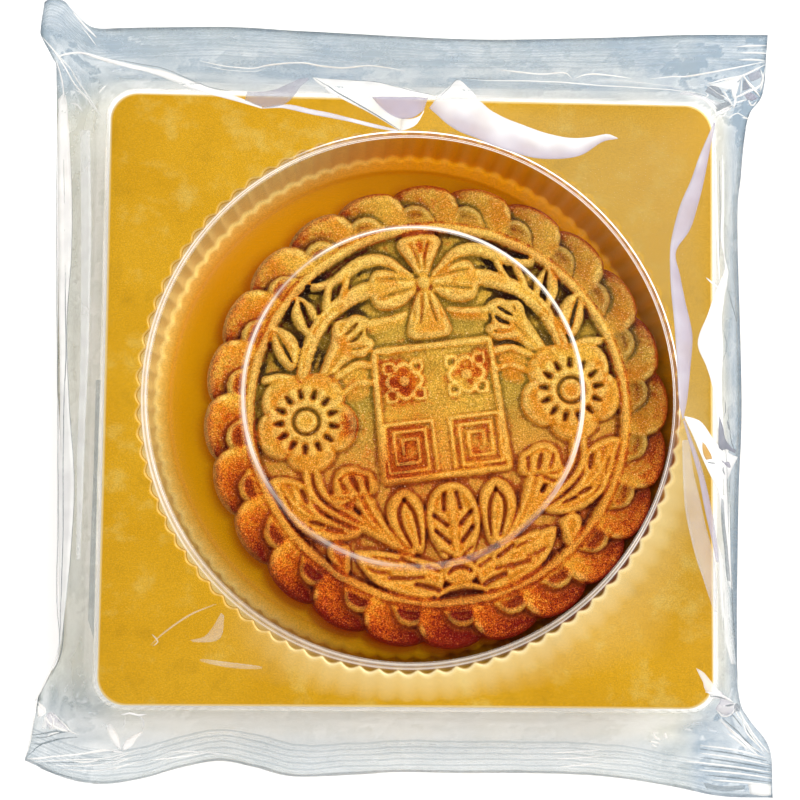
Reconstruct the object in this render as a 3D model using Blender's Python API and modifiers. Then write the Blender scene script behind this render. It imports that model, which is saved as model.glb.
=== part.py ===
"""A baked mooncake in its pack: a gold tray with a fluted round well, a clear lid over it,
and a sealed clear film bag with a crimped seal at each end.

Metres, +Z up. The pack lies flat with its shown side up, and +Y points to the top seal.
The origin is at the middle of the underside of the pack's box.
"""
import math
from collections import namedtuple

import bmesh
import bpy
import numpy as np
from mathutils import Matrix

MM = 0.001

# --- where the contents sit in the bag -------------------------------------------------
TRAY_CENTRE = (0.9 * MM, -1.8 * MM)
CAKE_CENTRE = (7.0 * MM, -5.3 * MM)
RELIEF_TURN = math.radians(7.7)         # the pressed pattern stands a little askew

# --- gold tray -------------------------------------------------------------------------
TRAY_FOOT = 0.9 * MM                    # underside of the well's floor
TRAY_WALL = 0.6 * MM
TRAY_FLOOR = TRAY_FOOT + TRAY_WALL
FLANGE_HALF = 75.2 * MM
FLANGE_CORNER = 6.8 * MM
FLANGE_TOP = 20.6 * MM
FLUTES = 88
FLUTE_CREST = 67.1 * MM
FLUTE_VALLEY = 65.9 * MM
FLOOR_CREST = 65.0 * MM                 # the fluted wall's radius where it meets the floor
FLOOR_VALLEY = 64.2 * MM
STEP_RADIUS = 60.6 * MM
STEP_RISE = 0.6 * MM

# --- clear lid -------------------------------------------------------------------------
LID_WALL = 0.5 * MM
LID_HALF = 76.3 * MM
LID_CORNER = 7.6 * MM
LID_LIP = 1.6 * MM                      # the turned-down edge that closes round the tray
LID_FLANGE_TOP = FLANGE_TOP + 0.3 * MM + LID_WALL
LID_FOOT_RADIUS = 65.9 * MM
LID_STEP_RADIUS = 64.3 * MM
LID_STEP_TOP = 28.2 * MM
LID_DISC_FOOT = 41.9 * MM
LID_DISC_RADIUS = 40.4 * MM
LID_TOP = 33.6 * MM
LID_SIDES = 48

# --- film bag --------------------------------------------------------------------------
FILM_GAP = 0.35 * MM
FILM_WALL = 0.6 * MM
FILM_SLACK = 1.0 * MM                   # how far the film stands off the edges it is drawn over
BAG_HALF_LENGTH = 100.2 * MM            # the tips of the longest seal corners
TOP_SEAL_REACH = 93.3 * MM              # the cut edges, in the middle of each seal
BOTTOM_SEAL_REACH = 94.0 * MM
TOP_SEAL_CORNERS = (BAG_HALF_LENGTH - TOP_SEAL_REACH, 2.1 * MM)       # left, right
BOTTOM_SEAL_CORNERS = (2.6 * MM, BAG_HALF_LENGTH - BOTTOM_SEAL_REACH)
SEAL_CORNER_BEND = 7                    # the higher, the closer the rise keeps to the corner
SEAL_HALF_WIDTH = 93.7 * MM
SEAL_TAPER = 2.0 * MM
SEAL_WALL = 0.9 * MM
SEAL_HEIGHT = 9.6 * MM
SEAL_WAVE = 1.1 * MM
SEAL_WAVES = 1.3                        # waves along half a seal
SEAL_RIBS = 3
SEAL_RIB_RISE = 0.35 * MM
SEAL_OVERLAP = 4.0 * MM
SEAL_COLUMNS = 18
PILLOW_MIDDLE_X = -0.8 * MM
PILLOW_HALF_WIDTH = 86.2 * MM
PILLOW_FLARE = 4.6 * MM                 # how much wider the bag is where it meets a seal
PILLOW_TOP_END = 85.2 * MM
PILLOW_BOTTOM_END = -82.8 * MM
PILLOW_CORNER = 9.0 * MM
PILLOW_EDGE_HEIGHT = 9.6 * MM
PILLOW_EDGE = 1.2 * MM
PILLOW_FOOT = 67.4 * MM
PILLOW_BELLY_HEIGHT = 5.3 * MM          # the underside, straight below the tray's edge
CAVITY_SHOULDER = 10.0 * MM
SEAM_GAP = (1.6 * MM, 128.0 * MM)       # open line along the back seam: width, length
SEAM_X = -9.0 * MM

# --- mooncake --------------------------------------------------------------------------
CAKE_BASE = TRAY_FLOOR + STEP_RISE + 0.35 * MM
CAKE_SIDE_RADIUS = 57.0 * MM
CAKE_SCALLOP = 1.2 * MM
CAKE_FOOT_INSET = 1.4 * MM
CAKE_DRAFT = 0.4 * MM
CAKE_FIELD = CAKE_BASE + 19.9 * MM      # the sunk ground between the raised ornaments
CAKE_SHOULDER = CAKE_FIELD - 2.6 * MM
PETALS = 24
PETAL_TURN = math.radians(11.3)
PETAL_LEAN = math.radians(6.0)          # each petal's clockwise edge lies over the next one
PETAL_FALL = math.radians(9.0)          # and its outer end is lower
PETAL_TOP = CAKE_FIELD + 0.9 * MM
LITTLE_PETAL_SHIFT = math.radians(4.3)
LITTLE_PETAL_TOP = PETAL_TOP + 0.7 * MM
RING_RADIUS = 46.2 * MM
RING_THICKNESS = 1.6 * MM
RING_LIFT = 0.4 * MM                    # the ring's middle line lies this far above the field
FIELD_RADIUS = RING_RADIUS + 1.4 * MM

# From here on, in millimetres from the cake's middle and above its field.
RELIEF_ROOT = 1.2                       # how deep the ornaments' bases sit in the core
ROOT_STEP = 0.013                       # each base a little deeper, so that no two coincide
EDGE_SLOPE = 0.45                       # rise of a shape's sloped rim for its width
PETAL_NEAR = 46.4
PETAL_FAR = 57.8
PETAL_HALF_WIDTH = 7.7
PETAL_DEPTH = 3.0                       # how far a petal's base lies below its hinge
LITTLE_PETAL_FAR = 52.6
LITTLE_PETAL_HALF_WIDTH = 4.0
LITTLE_PETAL_DEPTH = 2.4
PETAL_SIDE_SHARE = 0.42                 # straight part of a petal's length
PETAL_NECK = 0.80                       # width of its inner end, for its full width
STEM_RISE = 1.7
LEAF_RISE = 2.0
FLOWER_RISE = 2.4
PANEL_RISE = 1.2

# Places on the right half; a shape with a twin on the left is mirrored.
TOP_FLOWER = (0.0, 32.6)
TOP_FLOWER_REACH = (12.6, 12.6, 12.6, 13.8)     # petals to the right, top, left and bottom
TOP_FLOWER_PETAL = 10.6                 # their width near the outer end, and at the inner one
TOP_FLOWER_NECK = 3.6
SIDE_FLOWER = (32.4, 1.9)
UPPER_BUD = (18.6, 23.8)
LOWER_BUD = (23.4, -12.6)
MAIN_STEM = ((12.0, 33.6), (18.2, 32.0), (23.2, 28.4), (27.8, 23.3), (30.9, 17.1), (32.6, 11.5))
VINE = ((3.6, 34.4), (7.7, 38.7), (12.2, 40.3), (17.1, 39.0), (22.0, 35.9), (27.0, 35.1))
LOWER_STEM = ((33.6, -10.2), (30.4, -16.6), (25.4, -21.8), (17.4, -27.6), (8.4, -32.8))
PANEL_HALF = 15.5
PANEL_CENTRE = (0.4, 0.6)
PANEL_FRET = 7.2                        # from the panel's middle to each little fret's
FRET_HALF = 4.6

# --- colours (linear RGB), roughness, metallic, alpha ------------------------------------
FINISHES = {
    "clear_film": ((0.80, 0.86, 0.90), 0.12, 0.0, 0.22),
    "clear_pet": ((0.90, 0.92, 0.92), 0.08, 0.0, 0.22),
    "gold_pet": ((0.76, 0.44, 0.045), 0.34, 0.55, 1.0),
    "baked_crust": ((0.60, 0.27, 0.055), 0.55, 0.0, 1.0),
}

# outline: points in millimetres; rise: top above the field; edge: width of the sloped rim;
# dish, dish_edge: depth of the sunk middle and width of the slope down to it.
Ornament = namedtuple("Ornament", "outline rise edge dish dish_edge", defaults=(0.0, 0.0))


# --- helpers ---------------------------------------------------------------------------

def clear_scene():
    for thing in list(bpy.data.objects):
        bpy.data.objects.remove(thing, do_unlink=True)


def new_collection(name):
    group = bpy.data.collections.new(name)
    bpy.context.scene.collection.children.link(group)
    return group


def make_material(name):
    colour, roughness, metallic, alpha = FINISHES[name]
    material = bpy.data.materials.new(name)
    material.use_nodes = True
    shader = material.node_tree.nodes["Principled BSDF"]
    shader.inputs["Base Color"].default_value = (*colour, 1.0)
    shader.inputs["Roughness"].default_value = roughness
    shader.inputs["Metallic"].default_value = metallic
    shader.inputs["Alpha"].default_value = alpha
    return material


def finish_mesh(name, mesh_builder, group, material=None):
    """Turn a bmesh into a named object in a collection, faces pointing out."""
    bmesh.ops.recalc_face_normals(mesh_builder, faces=mesh_builder.faces[:])
    mesh = bpy.data.meshes.new(name)
    mesh_builder.to_mesh(mesh)
    mesh_builder.free()
    if material:
        mesh.materials.append(material)
    thing = bpy.data.objects.new(name, mesh)
    group.objects.link(thing)
    return thing


def mark_as_tool(thing):
    thing.hide_render = True
    thing.display_type = "WIRE"


def add_boolean(target, tool, operation):
    step = target.modifiers.new(tool.name, "BOOLEAN")
    step.operation = operation
    step.solver = "EXACT"
    step.object = tool
    return step


def add_thickness(thing, wall, offset):
    step = thing.modifiers.new("wall", "SOLIDIFY")
    step.thickness = wall
    step.offset = offset
    step.use_even_offset = True
    return step


def ring_points(angles, radii, height, centre):
    """Points at the given polar angles and radii about a centre."""
    angles = np.asarray(angles)
    radii = np.broadcast_to(radii, angles.shape)
    height = np.broadcast_to(height, angles.shape)
    across = centre[0] + radii * np.cos(angles)
    along = centre[1] + radii * np.sin(angles)
    return np.stack([across, along, height], axis=-1)


def add_loop(builder, points):
    return [builder.verts.new(point) for point in points]


def bridge(builder, lower, upper):
    """One band of faces between two loops with the same number of points."""
    count = len(lower)
    for index in range(count):
        after = (index + 1) % count
        builder.faces.new((lower[index], lower[after], upper[after], upper[index]))


def loft(rings, cap_first=True, cap_last=True):
    """A skin through rings that have the same number of points."""
    builder = bmesh.new()
    loops = [add_loop(builder, ring) for ring in rings]
    for lower, upper in zip(loops, loops[1:]):
        bridge(builder, lower, upper)
    if cap_first:
        builder.faces.new(list(reversed(loops[0])))
    if cap_last:
        builder.faces.new(loops[-1])
    return builder, loops


def loop_edges(builder, loop):
    return [builder.edges.get((loop[index - 1], loop[index])) or
            builder.edges.new((loop[index - 1], loop[index])) for index in range(len(loop))]


def box_radius(angles, half_x, half_y, corner):
    """Polar radius of a rectangle with rounded corners."""
    across = np.abs(np.cos(angles))
    along = np.abs(np.sin(angles))
    side = np.minimum(half_x / np.maximum(across, 1e-9), half_y / np.maximum(along, 1e-9))
    inner_x = half_x - corner
    inner_y = half_y - corner
    in_corner = (side * across > inner_x) & (side * along > inner_y)
    reach = across * inner_x + along * inner_y
    spare = np.maximum(reach ** 2 - inner_x ** 2 - inner_y ** 2 + corner ** 2, 0.0)
    return np.where(in_corner, reach + np.sqrt(spare), side)


def square_angles(half, corner, side_steps, corner_steps):
    """Polar angles of points spread along a rounded square, close together at its corners."""
    inner = half - corner
    straight = np.linspace(-inner, inner, side_steps, endpoint=False)
    bend = np.linspace(0.0, math.pi / 2, corner_steps, endpoint=False)
    side = np.arctan2(straight, half)
    turn = np.arctan2(inner + corner * np.sin(bend), inner + corner * np.cos(bend))
    quarter = np.concatenate([side, turn])
    return np.concatenate([quarter + step * math.pi / 2 for step in range(4)])


# --- gold tray -------------------------------------------------------------------------

def make_tray(group, material):
    """A square flange with a round well whose wall is pressed into flutes."""
    points = np.arange(2 * FLUTES)
    angles = points * math.pi / FLUTES
    crest = points % 2 == 0
    wall_foot = ring_points(angles, np.where(crest, FLOOR_CREST, FLOOR_VALLEY),
                            TRAY_FLOOR, TRAY_CENTRE)
    wall_top = ring_points(angles, np.where(crest, FLUTE_CREST, FLUTE_VALLEY),
                           FLANGE_TOP, TRAY_CENTRE)
    builder, loops = loft([wall_foot, wall_top], cap_first=False, cap_last=False)

    rim_angles = square_angles(FLANGE_HALF, FLANGE_CORNER, 3, 5)
    rim = add_loop(builder, ring_points(
        rim_angles, box_radius(rim_angles, FLANGE_HALF, FLANGE_HALF, FLANGE_CORNER),
        FLANGE_TOP, TRAY_CENTRE))
    bmesh.ops.triangle_fill(builder, use_beauty=True,
                            edges=loop_edges(builder, rim) + loop_edges(builder, loops[1]))

    step_angles = np.arange(FLUTES // 2) * 4 * math.pi / FLUTES
    step_foot = add_loop(builder, ring_points(step_angles, STEP_RADIUS + STEP_RISE,
                                              TRAY_FLOOR, TRAY_CENTRE))
    bmesh.ops.triangle_fill(builder, use_beauty=True,
                            edges=loop_edges(builder, step_foot) + loop_edges(builder, loops[0]))
    step_top = add_loop(builder, ring_points(step_angles, STEP_RADIUS,
                                             TRAY_FLOOR + STEP_RISE, TRAY_CENTRE))
    bridge(builder, step_foot, step_top)
    builder.faces.new(step_top)

    tray = finish_mesh("tray", builder, group, material)
    point_upwards(tray)
    add_thickness(tray, TRAY_WALL, -1.0)
    return tray


def point_upwards(thing):
    """Turn an open skin so that its flat faces look up."""
    widest = max(thing.data.polygons, key=lambda face: face.area * abs(face.normal.z))
    if widest.normal.z < 0:
        thing.data.flip_normals()


# --- clear lid -------------------------------------------------------------------------

def make_lid(group, material):
    """A thin cover: turned-down edge, flange, round step and a raised disc in its middle."""
    angles = np.arange(LID_SIDES) * 2 * math.pi / LID_SIDES
    profile = ((LID_FOOT_RADIUS, LID_FLANGE_TOP), (LID_STEP_RADIUS, LID_STEP_TOP),
               (LID_DISC_FOOT, LID_STEP_TOP), (LID_DISC_RADIUS, LID_TOP))
    rings = [ring_points(angles, radius, height, TRAY_CENTRE) for radius, height in profile]
    builder, loops = loft(rings, cap_first=False)

    rim_angles = square_angles(LID_HALF, LID_CORNER, 3, 5)
    rim_radius = box_radius(rim_angles, LID_HALF, LID_HALF, LID_CORNER)
    rim = add_loop(builder, ring_points(rim_angles, rim_radius, LID_FLANGE_TOP, TRAY_CENTRE))
    bmesh.ops.triangle_fill(builder, use_beauty=True,
                            edges=loop_edges(builder, rim) + loop_edges(builder, loops[0]))
    lip = add_loop(builder, ring_points(rim_angles, rim_radius, LID_FLANGE_TOP - LID_LIP,
                                        TRAY_CENTRE))
    bridge(builder, lip, rim)

    lid = finish_mesh("clear_lid", builder, group, material)
    point_upwards(lid)
    add_thickness(lid, LID_WALL, -1.0)
    return lid


# --- film bag --------------------------------------------------------------------------

def pillow_outline(angles, height):
    """The bag's edge seen from above: a rectangle that widens towards both seals."""
    middle_y = (PILLOW_TOP_END + PILLOW_BOTTOM_END) / 2
    half_y = (PILLOW_TOP_END - PILLOW_BOTTOM_END) / 2
    radius = box_radius(angles, PILLOW_HALF_WIDTH, half_y, PILLOW_CORNER)
    points = ring_points(angles, radius, height, (0.0, 0.0))
    flare = PILLOW_FLARE / PILLOW_HALF_WIDTH
    points[:, 0] *= 1.0 + flare * np.abs(points[:, 1] / half_y) ** 3
    points[:, 0] += PILLOW_MIDDLE_X
    points[:, 1] += middle_y
    return points


def square_ring(angles, half, corner, height):
    return ring_points(angles, box_radius(angles, half, half, corner), height, TRAY_CENTRE)


def make_pillow(group, material):
    """The film as it is drawn over the lid, out to the bag's edges and in under the tray."""
    angles = square_angles(LID_HALF, LID_CORNER, 7, 4)
    film = FILM_GAP + FILM_WALL
    stand_off = FILM_WALL + FILM_SLACK
    rings = [
        ring_points(angles, PILLOW_FOOT, 0.0, TRAY_CENTRE),
        square_ring(angles, LID_HALF + stand_off + MM, LID_CORNER, PILLOW_BELLY_HEIGHT),
        pillow_outline(angles, PILLOW_EDGE_HEIGHT - PILLOW_EDGE / 2),
        pillow_outline(angles, PILLOW_EDGE_HEIGHT + PILLOW_EDGE / 2),
        square_ring(angles, LID_HALF + stand_off, LID_CORNER + MM, LID_FLANGE_TOP + film),
        ring_points(angles, LID_STEP_RADIUS + stand_off, LID_STEP_TOP + film, TRAY_CENTRE),
        ring_points(angles, LID_DISC_RADIUS + stand_off, LID_TOP + film, TRAY_CENTRE),
    ]
    builder, _ = loft(rings)
    return finish_mesh("film_bag", builder, group, material)


def make_cavity(group):
    """The room inside the bag that the tray and its lid take up."""
    angles = square_angles(LID_HALF, LID_CORNER, 5, 3)
    clear_half = LID_HALF + 0.6 * FILM_SLACK
    rings = [
        ring_points(angles, FLOOR_CREST + TRAY_WALL + 0.6 * FILM_SLACK, FILM_WALL, TRAY_CENTRE),
        square_ring(angles, clear_half, LID_CORNER, CAVITY_SHOULDER),
        square_ring(angles, clear_half, LID_CORNER, LID_FLANGE_TOP + FILM_GAP),
        ring_points(angles, LID_STEP_RADIUS + FILM_SLACK, LID_STEP_TOP + FILM_GAP, TRAY_CENTRE),
        ring_points(angles, LID_DISC_RADIUS + FILM_SLACK, LID_TOP + FILM_GAP, TRAY_CENTRE),
    ]
    builder, _ = loft(rings)
    return finish_mesh("room_for_contents", builder, group)


def make_back_seam(group):
    """A narrow line along the back where the film's two edges meet."""
    builder = bmesh.new()
    bmesh.ops.create_cube(builder, size=1.0)
    bmesh.ops.scale(builder, verts=builder.verts[:], vec=(*SEAM_GAP, 3 * FILM_WALL))
    bmesh.ops.translate(builder, verts=builder.verts[:], vec=(SEAM_X, TRAY_CENTRE[1], 0.0))
    return finish_mesh("back_seam", builder, group)


def seal_edge(across, middle, left_corner, right_corner):
    """How far out a seal's cut edge lies: level in the middle, drawn out at its corners."""
    bend = np.abs(across) ** SEAL_CORNER_BEND
    return middle + np.where(across < 0, left_corner, right_corner) * bend


def make_end_seal(name, group, outward, start, middle, corners):
    """A ribbed strip, from inside the pillow's end out to the cut edge.

    outward is +1 for the top seal and -1 for the bottom one.
    """
    rows = 2 * SEAL_RIBS + 2
    builder = bmesh.new()
    bmesh.ops.create_grid(builder, x_segments=SEAL_COLUMNS, y_segments=rows, size=1.0)
    for vert in builder.verts:
        across = vert.co.x
        row = round((vert.co.y + 1.0) / 2.0 * rows)
        share = max(row - 1, 0) / (rows - 1)
        edge = float(seal_edge(across, middle, *corners))
        reach = start + share * (edge - start) if row else start - SEAL_OVERLAP
        rib = SEAL_RIB_RISE if row % 2 == 0 and 0 < row < rows else 0.0
        wave = SEAL_WAVE * share * math.cos(2 * math.pi * SEAL_WAVES * across + outward)
        vert.co.y = outward * reach
        vert.co.x = across * (SEAL_HALF_WIDTH - SEAL_TAPER * (1.0 - share))
        vert.co.z = SEAL_HEIGHT + wave + rib
    seal = finish_mesh(name, builder, group)
    point_upwards(seal)
    add_thickness(seal, SEAL_WALL, 0.0)
    return seal


def make_film_bag(group, tools, material):
    bag = make_pillow(group, material)
    seals = (
        make_end_seal("top_seal", tools, 1, PILLOW_TOP_END, TOP_SEAL_REACH,
                      TOP_SEAL_CORNERS),
        make_end_seal("bottom_seal", tools, -1, -PILLOW_BOTTOM_END, BOTTOM_SEAL_REACH,
                      BOTTOM_SEAL_CORNERS),
    )
    for seal in seals:
        mark_as_tool(seal)
        add_boolean(bag, seal, "UNION")
    for cutter in (make_cavity(tools), make_back_seam(tools)):
        mark_as_tool(cutter)
        add_boolean(bag, cutter, "DIFFERENCE")
    return bag


# --- mooncake --------------------------------------------------------------------------

def make_core(group):
    """The cake's body: scalloped side wall, falling shoulder and flat field."""
    points = PETALS * 3
    angles = PETAL_TURN + np.arange(points) * 2 * math.pi / points
    lobe = np.abs(np.sin((angles - PETAL_TURN) * PETALS / 2)) ** 0.7
    side = CAKE_SIDE_RADIUS - CAKE_SCALLOP + CAKE_SCALLOP * lobe
    rings = [
        ring_points(angles, side - CAKE_FOOT_INSET, CAKE_BASE, CAKE_CENTRE),
        ring_points(angles, side, CAKE_BASE + 1.6 * CAKE_FOOT_INSET, CAKE_CENTRE),
        ring_points(angles, side - CAKE_DRAFT, CAKE_SHOULDER, CAKE_CENTRE),
        ring_points(angles, FIELD_RADIUS, CAKE_FIELD, CAKE_CENTRE),
    ]
    builder, _ = loft(rings)
    return finish_mesh("mooncake", builder, group)


def plate(name, shape, root, group):
    """A solid ornament that stands from root up to its rise, with a sloped rim."""
    builder = bmesh.new()
    bottom = [builder.verts.new((x * MM, y * MM, root * MM)) for x, y in shape.outline]
    face = builder.faces.new(bottom)
    raised = bmesh.ops.extrude_face_region(builder, geom=[face])["geom"]
    slope = EDGE_SLOPE * shape.edge
    lift = shape.rise - root - slope
    top = next(item for item in raised if isinstance(item, bmesh.types.BMFace))
    bmesh.ops.translate(builder, verts=list(top.verts), vec=(0.0, 0.0, lift * MM))
    top.normal_update()
    if top.normal.z < 0:
        top.normal_flip()
    bmesh.ops.inset_region(builder, faces=[top], thickness=shape.edge * MM, depth=slope * MM,
                           use_even_offset=True, use_boundary=True)
    if shape.dish:
        bmesh.ops.inset_region(builder, faces=[top], thickness=shape.dish_edge * MM,
                               depth=-shape.dish * MM, use_even_offset=True, use_boundary=True)
    return finish_mesh(name, builder, group)


def petal_outline(far, half_width, points):
    """An arch that points outwards: two straight sides and a rounded end."""
    side = PETAL_NEAR + PETAL_SIDE_SHARE * (far - PETAL_NEAR)
    bend = np.linspace(0.0, math.pi, points)
    neck = PETAL_NECK * half_width
    end = [(side + (far - side) * math.sin(turn), -half_width * math.cos(turn))
           for turn in bend]
    return [(PETAL_NEAR, -neck), *end, (PETAL_NEAR, neck)]


def make_petals(group):
    """Two rows of petals round the rim, each leaning over the next one clockwise."""
    pitch = math.radians(360.0 / PETALS)
    petal = Ornament(petal_outline(PETAL_FAR, PETAL_HALF_WIDTH, 6), 0.0, 1.5, 0.7, 1.1)
    little = Ornament(petal_outline(LITTLE_PETAL_FAR, LITTLE_PETAL_HALF_WIDTH, 4), 0.0, 1.2)
    rows = (("petal", petal, PETAL_TOP, pitch / 2, PETAL_DEPTH),
            ("little_petal", little, LITTLE_PETAL_TOP, LITTLE_PETAL_SHIFT, LITTLE_PETAL_DEPTH))
    lean = Matrix.Rotation(PETAL_LEAN, 4, "X") @ Matrix.Rotation(PETAL_FALL, 4, "Y")
    for name, shape, top, shift, depth in rows:
        hinge = Matrix.Translation((RING_RADIUS, 0.0, top))
        local = hinge @ lean @ Matrix.Translation((-RING_RADIUS, 0.0, 0.0))
        for index in range(PETALS):
            part = plate(f"{name}_{index}", shape, -depth, group)
            part.data.transform(cake_frame(PETAL_TURN + index * pitch - shift) @ local)


def cake_frame(turn):
    return Matrix.Translation((*CAKE_CENTRE, 0.0)) @ Matrix.Rotation(turn, 4, "Z")


def make_ring(group):
    bpy.ops.mesh.primitive_torus_add(
        location=(*CAKE_CENTRE, CAKE_FIELD + RING_LIFT), major_radius=RING_RADIUS,
        minor_radius=RING_THICKNESS, major_segments=48, minor_segments=6)
    ring = bpy.context.active_object
    ring.name = "raised_ring"
    bpy.ops.object.transform_apply(location=True)
    for home in list(ring.users_collection):
        home.objects.unlink(ring)
    group.objects.link(ring)
    return ring


def leaf_outline(base, tip, width, points=5, fullness=0.8):
    """A pointed oval from base to tip."""
    base, tip = np.array(base, float), np.array(tip, float)
    axis = tip - base
    side = np.array((-axis[1], axis[0])) / np.hypot(*axis)
    share = np.linspace(0.0, 1.0, points)[1:-1]
    half = width / 2 * np.sin(math.pi * share) ** fullness
    one = [base + axis * t - side * h for t, h in zip(share, half)]
    other = [base + axis * t + side * h for t, h in zip(share[::-1], half[::-1])]
    return [tuple(base), *map(tuple, one), tuple(tip), *map(tuple, other)]


def band_outline(path, width, end_width=None):
    """A strip of the given width along a path, tapering to end_width."""
    path = np.array(path, float)
    heading = np.gradient(path, axis=0)
    heading /= np.hypot(heading[:, 0], heading[:, 1])[:, None]
    side = np.stack([-heading[:, 1], heading[:, 0]], axis=1)
    half = np.linspace(width, width if end_width is None else end_width, len(path)) / 2
    left = path + side * half[:, None]
    right = path - side * half[:, None]
    return [tuple(point) for point in np.concatenate([right, left[::-1]])]


def lobed_outline(centre, radius, lobes, depth, turn=0.0, points=4):
    """A closed flower outline with rounded lobes."""
    angle = turn + np.arange(lobes * points) * 2 * math.pi / (lobes * points)
    swell = np.abs(np.sin((angle - turn) * lobes / 2)) ** 0.6
    reach = radius - depth + depth * swell
    return [(centre[0] + r * math.cos(a), centre[1] + r * math.sin(a))
            for r, a in zip(reach, angle)]


def fan_outline(centre, angle, near, far, near_width, far_width):
    """A blossom petal: narrow at the middle of the flower and round at its outer end."""
    corner = far - 0.30 * far_width
    blunt = 0.26 * far_width
    local = [(near, -near_width / 2), (corner, -far_width / 2), (far, -blunt),
             (far, blunt), (corner, far_width / 2), (near, near_width / 2)]
    cosine, sine = math.cos(angle), math.sin(angle)
    return [(centre[0] + x * cosine - y * sine, centre[1] + x * sine + y * cosine)
            for x, y in local]


def square_outline(centre, half):
    return [(centre[0] + sx * half, centre[1] + sy * half)
            for sx, sy in ((-1, -1), (1, -1), (1, 1), (-1, 1))]


def button_outline(centre, radius, sides=8):
    return lobed_outline(centre, radius, sides, 0.0, points=1)


def mirrored(outline, side):
    """The outline itself for side +1, or its twin across the relief's middle line."""
    if side > 0:
        return outline
    return [(-x, y) for x, y in reversed(outline)]


def middle_shapes():
    """The ornaments on the relief's middle line: top flower, square panel and crown leaf."""
    shapes = []
    for step, reach in enumerate(TOP_FLOWER_REACH):
        petal = fan_outline(TOP_FLOWER, math.pi / 2 * step, 1.2, reach, TOP_FLOWER_NECK,
                            TOP_FLOWER_PETAL)
        shapes.append(Ornament(petal, FLOWER_RISE - 0.1 * step, 1.1, 0.5, 0.9))
    shapes.append(Ornament(button_outline(TOP_FLOWER, 2.2), FLOWER_RISE + 0.5, 0.6))

    shapes.append(Ornament(square_outline(PANEL_CENTRE, PANEL_HALF), PANEL_RISE + 0.9, 0.7,
                           0.9, 0.5))
    for column in (-1, 1):
        for row in (-1, 1):
            middle = (PANEL_CENTRE[0] + column * PANEL_FRET, PANEL_CENTRE[1] + row * PANEL_FRET)
            shapes.append(Ornament(square_outline(middle, FRET_HALF), PANEL_RISE + 0.8, 0.8,
                                   0.8, 0.4))
            blossom = lobed_outline(middle, 2.0, 4, 0.7, points=2)
            shapes.append(Ornament(blossom, PANEL_RISE + 0.7, 0.5))

    crown = leaf_outline((1.0, -36.5), (0.6, -16.0), 12.4, points=6, fullness=0.55)
    shapes.append(Ornament(crown, LEAF_RISE + 0.3, 1.2, 0.6, 0.8))
    shapes.append(Ornament(button_outline((1.6, -39.6), 3.6), LEAF_RISE + 0.1, 1.2))
    return shapes


def side_shapes():
    """The ornaments of the relief's right half, from the top down."""
    tendrils = (((17.6, 37.4), (18.9, 32.6)), ((23.6, 34.6), (24.0, 29.4)))
    ribbon = ((15.6, 23.4), (10.4, 24.0), (4.8, 25.2))
    upper_bud_stem = ((20.4, 21.0), (24.0, 16.6), (28.4, 12.4))
    arcs = (((15.6, 14.6), (19.8, 14.4), (24.6, 11.6)), ((15.8, 9.6), (19.2, 9.4), (22.4, 7.6)))
    lower_bud_stem = ((22.8, -15.4), (20.6, -20.0), (17.0, -26.6))
    broad = {"points": 6, "fullness": 0.6}
    return [
        Ornament(band_outline(MAIN_STEM, 3.9, 3.3), STEM_RISE, 1.0),
        Ornament(band_outline(VINE, 2.4, 3.6), STEM_RISE - 0.2, 0.8),
        Ornament(band_outline(tendrils[0], 1.8), STEM_RISE - 0.1, 0.5),
        Ornament(band_outline(tendrils[1], 1.8), STEM_RISE - 0.3, 0.5),
        Ornament(leaf_outline((28.4, 24.4), (31.2, 32.4), 4.0), LEAF_RISE - 0.1, 0.8),
        Ornament(leaf_outline((32.6, 13.6), (37.8, 26.2), 5.8), LEAF_RISE, 1.0, 0.5, 0.6),
        Ornament(leaf_outline((34.0, 11.2), (42.4, 14.6), 3.0), LEAF_RISE - 0.3, 0.7),
        Ornament(band_outline(ribbon, 4.0, 1.6), STEM_RISE - 0.4, 0.6),
        Ornament(lobed_outline(UPPER_BUD, 5.6, 3, 1.4, math.radians(70)), FLOWER_RISE - 0.2,
                 1.1, 0.5, 0.8),
        Ornament(band_outline(upper_bud_stem, 4.6, 3.0), STEM_RISE + 0.1, 0.9),
        Ornament(lobed_outline(SIDE_FLOWER, 12.6, 5, 2.2, math.radians(17)), FLOWER_RISE,
                 1.4, 0.5, 1.0),
        Ornament(button_outline(SIDE_FLOWER, 5.0, 10), FLOWER_RISE + 0.3, 0.8, 0.6, 0.5),
        Ornament(button_outline(SIDE_FLOWER, 2.9), FLOWER_RISE + 0.5, 0.7),
        Ornament(band_outline(arcs[0], 3.2), STEM_RISE - 0.5, 0.7),
        Ornament(band_outline(arcs[1], 2.6), STEM_RISE - 0.7, 0.6),
        Ornament(lobed_outline(LOWER_BUD, 5.8, 3, 1.2, math.radians(25)), FLOWER_RISE - 0.3,
                 1.1, 0.5, 0.8),
        Ornament(band_outline(lower_bud_stem, 4.4, 3.0), STEM_RISE + 0.2, 0.9),
        Ornament(band_outline(LOWER_STEM, 3.0, 4.2), STEM_RISE, 0.8),
        Ornament(leaf_outline((25.0, -26.4), (44.0, -9.8), 9.4, **broad), LEAF_RISE - 0.2,
                 1.2, 0.5, 0.8),
        Ornament(leaf_outline((10.6, -33.6), (13.0, -16.2), 8.6, **broad), LEAF_RISE + 0.1,
                 1.2, 0.7, 0.8),
        Ornament(leaf_outline((4.4, -40.6), (25.6, -30.6), 8.8, **broad), LEAF_RISE,
                 1.2, 0.5, 0.8),
        Ornament(leaf_outline((26.4, -35.4), (31.4, -27.6), 5.6), LEAF_RISE - 0.5, 0.9),
    ]


def relief_shapes():
    """Every raised ornament; twins differ a little in height, so that no tops coincide."""
    shapes = middle_shapes()
    for side in (1, -1):
        for shape in side_shapes():
            shapes.append(shape._replace(outline=mirrored(shape.outline, side),
                                         rise=shape.rise + 0.04 * side))
    return shapes


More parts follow.
